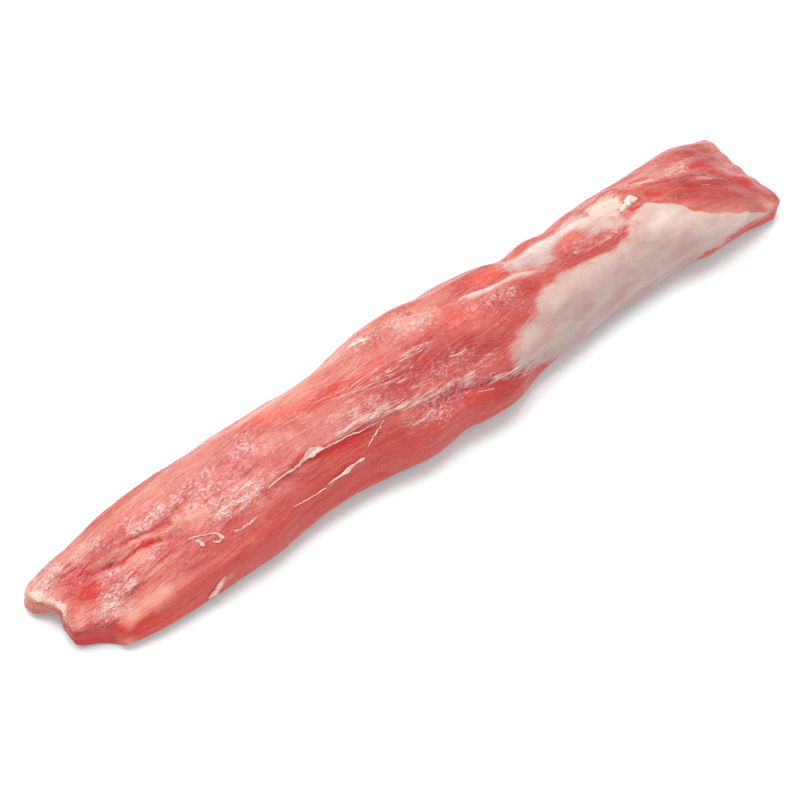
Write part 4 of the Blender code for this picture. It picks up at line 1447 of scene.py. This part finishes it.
    def covered(self, graph: MuscleGraph, colour: Wire) -> Wire:
        """Lays the silverskin, the purple veins and the fat over the meat, and reddens its hollows.

        The reddened hollows are painted shade.

        Args:
            graph: the muscle's node tree.
            colour: the glazed meat's colour.

        Returns:
            The finished colour.
        """
        skin = graph.skin * (0.90 + 0.7 * (graph.mottle - 0.5))
        colour = graph.mix(colour, self.skin_tone(graph), skin)
        vein = (graph[Layer.VEIN] + graph.tear * 1.2).between(0.2, 0.8)
        vein_tone = graph.mix(self.vein, self.vein_light, 0.6 * graph.curl + 0.55 * graph.dash)
        colour = graph.mix(colour, vein_tone, vein * 0.85)
        fat = (graph[Layer.FAT] + graph.tear * 0.8 + 0.8 * (graph.fleck - 0.5)).between(0.10, 0.85)
        fat_tone = graph.mix(self.fat, self.fat_yellow, graph.blotch.between(0.42, 0.66) * 0.9)
        colour = graph.mix(colour, fat_tone, fat * 0.85)
        # Painted shade: dark red wherever the fine relief dips, except under the skin.
        hollow = (0.0 - graph.relief).between(0.20, 0.80)
        return graph.mix(colour, self.deep, hollow * 0.6 * (1.0 - graph.skin))

    def material(self) -> bpy.types.Material:
        """Builds the material: the meat, the glaze and the covers on it, its fine relief and its shine."""
        graph = MuscleGraph()
        colour = self.covered(graph, self.glazed(graph, self.meat(graph)))
        roughness = 0.46 - 0.14 * graph[Layer.DEEP_RED_AND_SHADE] - 0.10 * graph[Layer.GLOW] + 0.05 * graph.skin
        bare = 1.0 - 0.8 * graph.skin
        height = (0.14 * graph.fibre + 0.08 * graph.thread) * bare
        height = height + 0.38 * graph.fleck * (0.35 + 0.9 * graph[Layer.FROST_AND_SHEEN]) * bare
        height = height + 0.45 * graph.grit * (0.2 + graph[Layer.FROST_AND_SHEEN]) * bare
        height = height + 0.14 * graph.curl * graph.glint_cover * bare
        height = height - 0.16 * graph.crease * graph.top * bare + 0.22 * graph.film
        height = height + 0.25 * graph.tear * bare
        skin_relief = 0.15 * graph.sheen + 0.2 * graph.mottle + 0.10 * graph.grit + 0.08 * graph.thread
        height = height + skin_relief * graph.skin
        coat = 0.28 + 0.45 * graph[Layer.FROST_AND_SHEEN] + 0.15 * graph[Layer.DEEP_RED_AND_SHADE]
        coat = coat - 0.24 * graph[Layer.RUDDY_AND_SHADE] - 0.10 * graph[Layer.FLANK]
        graph.surface(colour, roughness, height, WET, coat)
        return graph.material


@dataclass(frozen=True)
class ScrapFinish:
    """Thin skin or fat: one tone clouded by another, with fine fibres and a wet shine."""

    name: str
    tone: Colour
    cloud: Colour
    cloud_cell: float = 2.4
    relief: float = 0.3
    coat: float = 0.4

    def material(self) -> bpy.types.Material:
        """Builds the material."""
        graph = NodeGraph(self.name)
        here = graph.position()
        cloud = graph.noise(here, (self.cloud_cell * 2.0, self.cloud_cell, self.cloud_cell), 3.0, 0.6)
        fibre = graph.noise(here, (6.0, 0.5, 0.5), 2.0)
        colour = graph.mix(self.tone, self.cloud, cloud.between(0.4, 0.68))
        roughness = 0.36 + 0.2 * (cloud - 0.5)
        height = self.relief * fibre + self.relief * cloud
        graph.surface(colour, roughness, height, {**WET, "Coat Weight": self.coat})
        return graph.material


@dataclass(frozen=True)
class Ribbon:
    """A strip of skin or fat that clings to the muscle along a path.

    half_width, lift and tilt are knots of (share of the way, value): its half width in millimetres, how far
    its middle stands off the surface, and how far it is turned up on its edge, in degrees. The constants
    round its ends, vary its width, tilt and place at random, and lift it where it is tilted.
    """

    name: str
    path: Path
    half_width: Knots
    lift: Knots = ((0.0, 0.1), (1.0, 0.1))
    tilt: Knots = ((0.0, 0.0), (1.0, 0.0))
    thickness: float = 0.45
    curl: float = 0.0
    ragged: float = 0.35
    rings: int = 110
    around: int = 16

    END_SHARE = 0.06
    BLUNTNESS = 0.02
    JITTER_CELL = 12.0
    WIDTH_JITTER = 1.6
    NARROWEST = 0.15
    TILT_JITTER = 6.0
    TILT_SHIFT = 31.0
    SIDE_JITTER = 0.3
    SIDE_SHIFT = 57.0
    EDGE_LIFT = 0.8

    def mesh(self, body: MuscleBody) -> bpy.types.Mesh:
        """Sweeps a flat oval along the path on the finished surface.

        A ring's point is the middle plus the half width times the cosine of its angle along the strip's
        width, and the half thickness times the sine across it; curl bends both edges up as the square.

        Args:
            body: the muscle that it clings to.

        Returns:
            The closed mesh.
        """
        share = np.linspace(0.0, 1.0, self.rings)
        points, normal = body.place(*places_along(self.path, share))
        along = unit(np.gradient(points, axis=0))
        side = unit(np.cross(normal, along))
        up = np.cross(along, side)
        jitter = LatticeNoise(sum(map(ord, self.name)), 3)
        walk = np.outer(share * self.rings / self.JITTER_CELL, (1.0, 0.0, 0.0))
        ends = np.sqrt(np.clip(np.minimum(share, 1.0 - share) / self.END_SHARE, self.BLUNTNESS, 1.0))
        ragged = np.maximum(1.0 + self.WIDTH_JITTER * self.ragged * jitter.read(walk), self.NARROWEST)
        width = smooth(share, self.half_width) * ends * ragged
        tilt = np.radians(smooth(share, self.tilt) + self.TILT_JITTER * jitter.read(walk + self.TILT_SHIFT))
        flat = side * np.cos(tilt)[:, None] + up * np.sin(tilt)[:, None]
        thin = up * np.cos(tilt)[:, None] - side * np.sin(tilt)[:, None]
        lift = smooth(share, self.lift) + self.EDGE_LIFT * width * np.abs(np.sin(tilt))
        sway = self.SIDE_JITTER * jitter.read(walk + self.SIDE_SHIFT)
        middle = points + up * lift[:, None] + side * sway[:, None]
        angle = circle(self.around)
        across = np.cos(angle)[None, :, None] * width[:, None, None] * flat[:, None, :]
        depth = np.sin(angle)[None, :, None] * (self.thickness / 2 * ends)[:, None, None] * thin[:, None, :]
        bend = self.curl * (np.cos(angle) ** 2)[None, :, None] * width[:, None, None] * thin[:, None, :]
        rings = middle[:, None, :] + across + depth + bend
        rings[..., 2] = np.maximum(rings[..., 2], FLOOR_GAP)
        return loft_mesh(self.name, rings[None], rings[[0, -1]].mean(axis=1)[None])


@dataclass(frozen=True)
class StrandBundle:
    """Fine white strands of skin that run side by side along a path."""

    path: Path
    spread: float
    count: int
    radius: Range = (0.07, 0.14)
    length_share: Range = (0.12, 0.45)


@dataclass(frozen=True)
class StrandWeb:
    """All the fine strands, as one piece of many thin closed threads.

    OFFSET and SLANT set the threads apart, as shares of their bundle's spread. WAVES and WAVE_HEIGHT bend
    them, TAPER and THINNEST point their ends, and KNOTS_PER_WAVE and KNOT_SIZE thicken them in places.
    """

    name: str
    bundles: Sequence[StrandBundle]
    seed: int
    rings: int = 26
    around: int = 6
    flatness: float = 0.55
    sink: float = 0.35

    OFFSET = 0.5
    SLANT = 1.2
    WAVES = (4.0, 11.0)
    WAVE_HEIGHT = 0.25
    TAPER = 6.0
    THINNEST = 0.02
    KNOTS_PER_WAVE = 3.0
    KNOT_SIZE = 0.25
    LOWEST = 0.03

    def threads(self, body: MuscleBody, bundle: StrandBundle, rng: np.random.Generator) -> Array:
        """Lays one bundle's threads on the surface.

        Args:
            body: the muscle.
            bundle: the path that they follow, and their sizes.
            rng: the source of their lengths, offsets and waves.

        Returns:
            Points as thread, ring, place round the ring, and axis.
        """
        count, rings = bundle.count, self.rings
        size = rng.uniform(*bundle.length_share, count)
        start = rng.uniform(0.0, 1.0, count) * (1.0 - size)
        step_along = np.linspace(0.0, 1.0, rings)
        share = start[:, None] + size[:, None] * step_along
        at, turn = places_along(bundle.path, share)
        wave = rng.uniform(0.0, 2 * np.pi, (count, 1)) + share * rng.uniform(*self.WAVES, (count, 1))
        drift = rng.normal(0.0, self.OFFSET, (count, 1))
        drift = drift + rng.normal(0.0, self.SLANT, (count, 1)) * size[:, None] * (step_along - 0.5)
        sideways = bundle.spread * drift + self.WAVE_HEIGHT * np.sin(wave)
        middle, normal = body.place(at, turn + sideways / body.cover.mm_per_degree)
        side = np.cross(normal, unit(np.gradient(middle, axis=1)))
        ends = np.minimum(step_along, 1.0 - step_along)
        taper = np.sqrt(np.clip(ends * self.TAPER, self.THINNEST, 1.0))
        knots = 1.0 + self.KNOT_SIZE * np.sin(self.KNOTS_PER_WAVE * wave)
        radius = (rng.uniform(*bundle.radius, (count, 1)) * taper * knots)[..., None, None]
        angle = circle(self.around)
        wide = np.cos(angle)[:, None] * radius * side[:, :, None, :]
        tall = (np.sin(angle) * self.flatness + self.sink)[:, None] * radius * normal[:, :, None, :]
        return middle[:, :, None, :] + wide + tall

    def build(self, body: MuscleBody, material: bpy.types.Material) -> bpy.types.Object:
        """Makes the piece."""
        rng = np.random.default_rng(self.seed)
        threads = np.concatenate([self.threads(body, bundle, rng) for bundle in self.bundles])
        threads[..., 2] = np.maximum(threads[..., 2], self.LOWEST)
        poles = threads[:, [0, -1]].mean(axis=2)
        return add_piece(loft_mesh(self.name, threads, poles), material)


@dataclass(frozen=True)
class GrainRow:
    """Lumps of fat scattered along a path, each a small uneven ball pressed into the surface.

    STRETCH is how much a lump may be squashed or drawn out along each axis, and ENDS keeps it on the muscle.
    """

    name: str
    path: Path
    spread: float
    count: int
    radius: Range
    seed: int
    rings: int = 6
    around: int = 9
    knobbliness: float = 0.18

    STRETCH = (0.7, 1.3)
    ENDS = (0.003, 0.997)

    def build(self, body: MuscleBody, material: bpy.types.Material) -> bpy.types.Object:
        """Makes the piece: rings of latitude about each lump's middle, stretched and knobbled.

        Args:
            body: the muscle.
            material: the finish.

        Returns:
            The piece.
        """
        rng = np.random.default_rng(self.seed)
        at, turn = places_along(self.path, rng.uniform(0.0, 1.0, self.count))
        at = at + rng.normal(0.0, self.spread, self.count) / body.form.length
        turn = turn + rng.normal(0.0, self.spread, self.count) / body.cover.mm_per_degree
        middle, _ = body.place(np.clip(at, *self.ENDS), turn)
        size = rng.uniform(*self.radius, (self.count, 1)) * rng.uniform(*self.STRETCH, (self.count, 3))
        rise = np.linspace(0.0, np.pi, self.rings + 2)[1:-1]
        spin = circle(self.around)
        level, height = np.sin(rise)[:, None], np.cos(rise)[:, None]
        ball = np.stack([level * np.cos(spin), level * np.sin(spin), height * np.ones(self.around)], axis=-1)
        knobs = 1.0 + self.knobbliness * rng.normal(0.0, 1.0, (self.count, self.rings, self.around, 1))
        lumps = middle[:, None, None, :] + ball[None] * knobs * size[:, None, None, :]
        poles = middle[:, None, :] + np.array(((0, 0, 1.0), (0, 0, -1.0)))[None] * size[:, 2][:, None, None]
        lumps[..., 2] = np.maximum(lumps[..., 2], FLOOR_GAP)
        poles[..., 2] = np.maximum(poles[..., 2], FLOOR_GAP)
        return add_piece(loft_mesh(self.name, lumps, poles), material)


SKIN_FINISH = ScrapFinish("silverskin_scrap", srgb(240, 208, 198), srgb(224, 156, 146), 1.1)
STRAND_FINISH = ScrapFinish("silverskin_strand", srgb(236, 196, 190), srgb(224, 158, 150))
FAT_FINISH = ScrapFinish("fat_scrap", srgb(242, 218, 206), srgb(232, 190, 172), 1.6, 0.4)
FLAKE_FINISH = ScrapFinish("pink_skin_flake", srgb(226, 182, 176), srgb(216, 138, 130), 1.2)

SKIN_RIBBONS = (
    Ribbon(
        "silverskin_fold",
        ((0.237, 118), (0.250, 117), (0.262, 117), (0.275, 118), (0.284, 117), (0.292, 115)),
        ((0.0, 0.14), (0.3, 0.38), (0.55, 0.62), (0.8, 0.4), (1.0, 0.5)),
        tilt=((0.0, 10.0), (0.5, 35.0), (1.0, 20.0)),
        ragged=0.2,
    ),
    Ribbon(
        "silverskin_flap",
        ((0.278, 118), (0.288, 116), (0.297, 114), (0.306, 115), (0.314, 118)),
        ((0.0, 0.3), (0.3, 0.9), (0.6, 1.9), (0.75, 1.5), (1.0, 0.2)),
        lift=((0.0, 0.2), (0.5, 0.3), (1.0, 0.15)),
        tilt=((0.0, 15.0), (0.5, 24.0), (1.0, 10.0)),
        thickness=0.3,
        curl=0.25,
        ragged=0.12,
    ),
    Ribbon(
        "silverskin_ridge",
        ((0.307, 118), (0.319, 119), (0.331, 120), (0.345, 121), (0.358, 122), (0.380, 122)),
        ((0.0, 0.3), (0.3, 0.22), (0.6, 0.3), (1.0, 0.08)),
        tilt=((0.0, 30.0), (1.0, 10.0)),
        thickness=0.3,
    ),
    Ribbon(
        "lower_skin_line",
        ((0.244, 151), (0.258, 154), (0.272, 156), (0.290, 156)),
        ((0.0, 0.08), (0.5, 0.2), (0.85, 0.45), (1.0, 0.2)),
        tilt=((0.0, 10.0), (1.0, 25.0)),
        thickness=0.3,
    ),
    Ribbon(
        "lower_skin_flap",
        ((0.292, 154), (0.302, 153), (0.312, 152), (0.322, 151), (0.330, 151)),
        ((0.0, 0.2), (0.3, 0.7), (0.6, 1.3), (0.8, 0.9), (1.0, 0.3)),
        lift=((0.0, 0.1), (0.6, 0.3), (1.0, 0.2)),
        tilt=((0.0, 20.0), (1.0, 15.0)),
        thickness=0.3,
        curl=0.25,
        ragged=0.2,
    ),
    Ribbon(
        "lower_skin_tail",
        ((0.326, 151), (0.334, 151), (0.343, 151)),
        ((0.0, 0.12), (0.7, 0.45), (1.0, 0.2)),
        thickness=0.3,
    ),
    Ribbon(
        "vein_thread",
        ((0.385, 123), (0.376, 128), (0.367, 132), (0.351, 141)),
        ((0.0, 0.10), (0.5, 0.15), (1.0, 0.12)),
        thickness=0.2,
    ),
    Ribbon(
        "far_fat_scrap",
        ((0.421, 58), (0.428, 60), (0.436, 63), (0.444, 67)),
        ((0.0, 0.3), (0.5, 0.8), (1.0, 0.2)),
        tilt=((0.0, 10.0), (1.0, 30.0)),
    ),
    Ribbon(
        "rim_skin_line",
        ((0.512, 154), (0.523, 152), (0.532, 151), (0.543, 151), (0.557, 152), (0.572, 160)),
        ((0.0, 0.12), (0.5, 0.34), (1.0, 0.1)),
        thickness=0.28,
        ragged=0.6,
    ),
)

FLAKE_RIBBONS = (
    Ribbon(
        "flake_arc",
        (
            (0.137, 108), (0.144, 108), (0.152, 111), (0.158, 115),
            (0.162, 121), (0.161, 127), (0.155, 128), (0.152, 123),
        ),
        ((0.0, 0.1), (0.25, 0.22), (0.5, 0.2), (0.7, 0.6), (0.85, 0.25), (1.0, 0.25)),
        tilt=((0.0, 10.0), (1.0, 25.0)),
        ragged=0.6,
    ),
    Ribbon(
        "flake_arc_nub",
        ((0.149, 114), (0.146, 118), (0.142, 123)),
        ((0.0, 0.3), (0.5, 0.75), (1.0, 0.4)),
        lift=((0.0, 0.1), (1.0, 0.2)),
        ragged=0.6,
    ),
    Ribbon(
        "flake_upper",
        ((0.184, 110), (0.188, 107), (0.195, 107), (0.202, 109), (0.210, 111), (0.218, 114)),
        ((0.0, 0.12), (0.4, 0.4), (0.7, 0.2), (1.0, 0.3)),
        thickness=0.25,
        ragged=0.8,
    ),
    Ribbon(
        "flake_lower",
        ((0.175, 129), (0.181, 132), (0.193, 132), (0.204, 132)),
        ((0.0, 0.4), (0.35, 0.25), (0.7, 0.25), (1.0, 0.08)),
        thickness=0.3,
        ragged=0.7,
    ),
    Ribbon(
        "side_tag",
        ((0.139, 171), (0.132, 176), (0.123, 182), (0.115, 189)),
        ((0.0, 0.8), (0.5, 1.5), (1.0, 1.1)),
        lift=((0.0, 0.0), (1.0, 0.3)),
        thickness=0.8,
    ),
)

STRANDS = StrandWeb(
    "silverskin_strands",
    (
        StrandBundle(
            ((0.340, 84), (0.374, 86), (0.395, 87), (0.426, 91), (0.458, 98)), 3.0, 26, (0.05, 0.12)
        ),
        StrandBundle(((0.395, 95), (0.421, 98), (0.448, 103)), 2.0, 8, (0.05, 0.11)),
        StrandBundle(((0.436, 89), (0.466, 92), (0.494, 95)), 0.8, 6, (0.06, 0.13), (0.3, 0.8)),
        StrandBundle(((0.425, 110), (0.445, 115), (0.464, 120)), 0.8, 3, (0.05, 0.10), (0.3, 0.8)),
        StrandBundle(((0.335, 119), (0.366, 114), (0.395, 111), (0.425, 112)), 3.2, 12, (0.05, 0.11)),
        StrandBundle(((0.390, 122), (0.435, 126), (0.470, 133)), 2.2, 10),
        StrandBundle(
            ((0.395, 138), (0.430, 142), (0.470, 150), (0.520, 160)), 3.6, 5, (0.05, 0.09), (0.05, 0.14)
        ),
        StrandBundle(((0.500, 128), (0.526, 129), (0.555, 131)), 2.6, 6, (0.05, 0.10), (0.10, 0.30)),
        StrandBundle(((0.490, 111), (0.504, 113), (0.514, 110)), 0.4, 2, (0.07, 0.14), (0.7, 1.0)),
        StrandBundle(((0.300, 86), (0.320, 86), (0.345, 88)), 1.6, 5),
        StrandBundle(((0.286, 101), (0.299, 104), (0.310, 106)), 0.8, 4),
        StrandBundle(((0.535, 165), (0.566, 172), (0.602, 184), (0.640, 190)), 3.0, 6, (0.05, 0.10)),
        StrandBundle(((0.690, 97), (0.726, 101), (0.765, 99)), 3.2, 5, (0.06, 0.12), (0.06, 0.16)),
        StrandBundle(((0.890, 86), (0.915, 89), (0.940, 94)), 2.0, 4, (0.06, 0.12), (0.2, 0.5)),
        StrandBundle(((0.100, 30), (0.300, 24), (0.500, 28)), 8.0, 22, (0.05, 0.11), (0.03, 0.12)),
        StrandBundle(((0.500, 20), (0.700, 12), (0.900, 22)), 8.0, 22, (0.05, 0.11), (0.03, 0.12)),
        StrandBundle(
            ((0.050, 340), (0.300, 345), (0.600, 340), (0.900, 345)), 7.0, 20, (0.05, 0.11), (0.03, 0.08)
        ),
    ),
    seed=21,
)

FAT_GRAINS = (
    GrainRow(
        "tail_rim_grains", ((0.006, 52), (0.004, 70), (0.006, 84), (0.006, 98)), 0.8, 30, (0.12, 0.26), 4
    ),
    GrainRow("fat_nub_stem", ((0.781, 84), (0.788, 82), (0.796, 80)), 0.2, 20, (0.6, 0.95), 3, 12, 18, 0.02),
    GrainRow("fat_nub_head", ((0.797, 80), (0.802, 78), (0.806, 80)), 0.45, 18, (0.9, 1.5), 9, 14, 20, 0.02),
    GrainRow("head_fat_grains", ((0.740, 98), (0.752, 97), (0.758, 96)), 1.2, 12, (0.14, 0.28), 6),
)


@dataclass(frozen=True)
class Studio:
    """A pale floor that is lit faintly from within, soft light from overhead, and the camera."""

    azimuth: float = -42.0
    elevation: float = 48.0
    distance: float = 0.861
    target: Triple = (-0.0169, 0.0047, 0.0049)
    lens: float = 100.0
    sensor: float = 36.0
    nearest: float = 0.01
    floor_size: float = 6.0
    floor_tone: Colour = (0.93, 0.93, 0.935)
    floor_cloud: Colour = (0.95, 0.95, 0.95)
    floor_cloud_cell: float = 90.0
    floor_glow: float = 0.17
    floor_glow_tone: Colour = (0.35, 1.0, 1.0)
    sky: float = 0.74
    key_direction: Triple = (-0.06, 0.16, 1.0)
    key_distance: float = 1.2
    key_size: float = 1.0
    key_power: float = 14.0

    def floor(self) -> None:
        """Lays the floor: one large square under the muscle, with a faint cloud in its tone."""
        half = self.floor_size / 2
        mesh = bpy.data.meshes.new("floor")
        signs = ((-1, -1), (1, -1), (1, 1), (-1, 1))
        mesh.from_pydata([(x * half, y * half, 0) for x, y in signs], [], [(0, 1, 2, 3)])
        graph = NodeGraph("pale_floor")
        cloud = graph.noise(graph.position(), (self.floor_cloud_cell,) * 3, 2.0)
        colour = graph.mix(self.floor_tone, self.floor_cloud, cloud.between(0.3, 0.7))
        glow = {"Emission Color": (*self.floor_glow_tone, 1.0), "Emission Strength": self.floor_glow}
        graph.surface(colour, 0.7 + 0.05 * cloud, 0.01 * cloud, {"Specular IOR Level": 0.2, **glow})
        mesh.materials.append(graph.material)
        floor = link("floor", mesh)

    def light(self) -> None:
        """Hangs one large soft lamp overhead, under an even white sky."""
        world = bpy.data.worlds.new("studio")
        world.use_nodes = True
        background = world.node_tree.nodes["Background"]
        background.inputs["Color"].default_value = (1.0, 1.0, 1.0, 1.0)
        background.inputs["Strength"].default_value = self.sky
        bpy.context.scene.world = world
        lamp = bpy.data.lights.new("key", "AREA")
        lamp.size = self.key_size
        lamp.energy = self.key_power
        key = link("key", lamp)
        direction = Vector(self.key_direction).normalized()
        key.location = direction * self.key_distance
        key.rotation_euler = direction.to_track_quat("Z", "Y").to_euler()

    def camera(self) -> None:
        """Stands the camera where the photograph was taken from."""
        spin, rise = math.radians(self.azimuth), math.radians(self.elevation)
        level = math.cos(rise)
        back = Vector((math.sin(spin) * level, -math.cos(spin) * level, math.sin(rise)))
        lens = bpy.data.cameras.new("camera")
        lens.lens = self.lens
        lens.sensor_width = self.sensor
        lens.clip_start = self.nearest
        camera = link("camera", lens)
        camera.location = Vector(self.target) + back * self.distance
        camera.rotation_euler = back.to_track_quat("Z", "Y").to_euler()
        bpy.context.scene.camera = camera

    def build(self) -> None:
        """Sets up the whole studio, with colours shown as they are."""
        self.floor()
        self.light()
        self.camera()
        bpy.context.scene.view_settings.view_transform = "Standard"


@dataclass
class Tenderloin:
    """The whole object: the muscle, and every scrap, strand and grain on it."""

    body: MuscleBody = field(default_factory=MuscleBody)
    finish: MuscleFinish = field(default_factory=MuscleFinish)

    def build(self) -> list[bpy.types.Object]:
        """Makes every piece.

        Returns:
            The pieces.
        """
        skin, fat, flake = (finish.material() for finish in (SKIN_FINISH, FAT_FINISH, FLAKE_FINISH))
        pieces = [self.body.build(self.finish.material())]
        for ribbons, material in ((SKIN_RIBBONS, skin), (FLAKE_RIBBONS, flake)):
            pieces += [add_piece(ribbon.mesh(self.body), material) for ribbon in ribbons]
        pieces.append(STRANDS.build(self.body, STRAND_FINISH.material()))
        pieces += [row.build(self.body, fat) for row in FAT_GRAINS]
        return pieces


def main() -> None:
    """Builds the tenderloin and its studio."""
    logging.basicConfig(level=logging.INFO, format="%(name)s: %(message)s")
    pieces = Tenderloin().build()
    Studio().build()
    LOG.info("%d pieces", len(pieces))


if __name__ == "__main__":
    main()
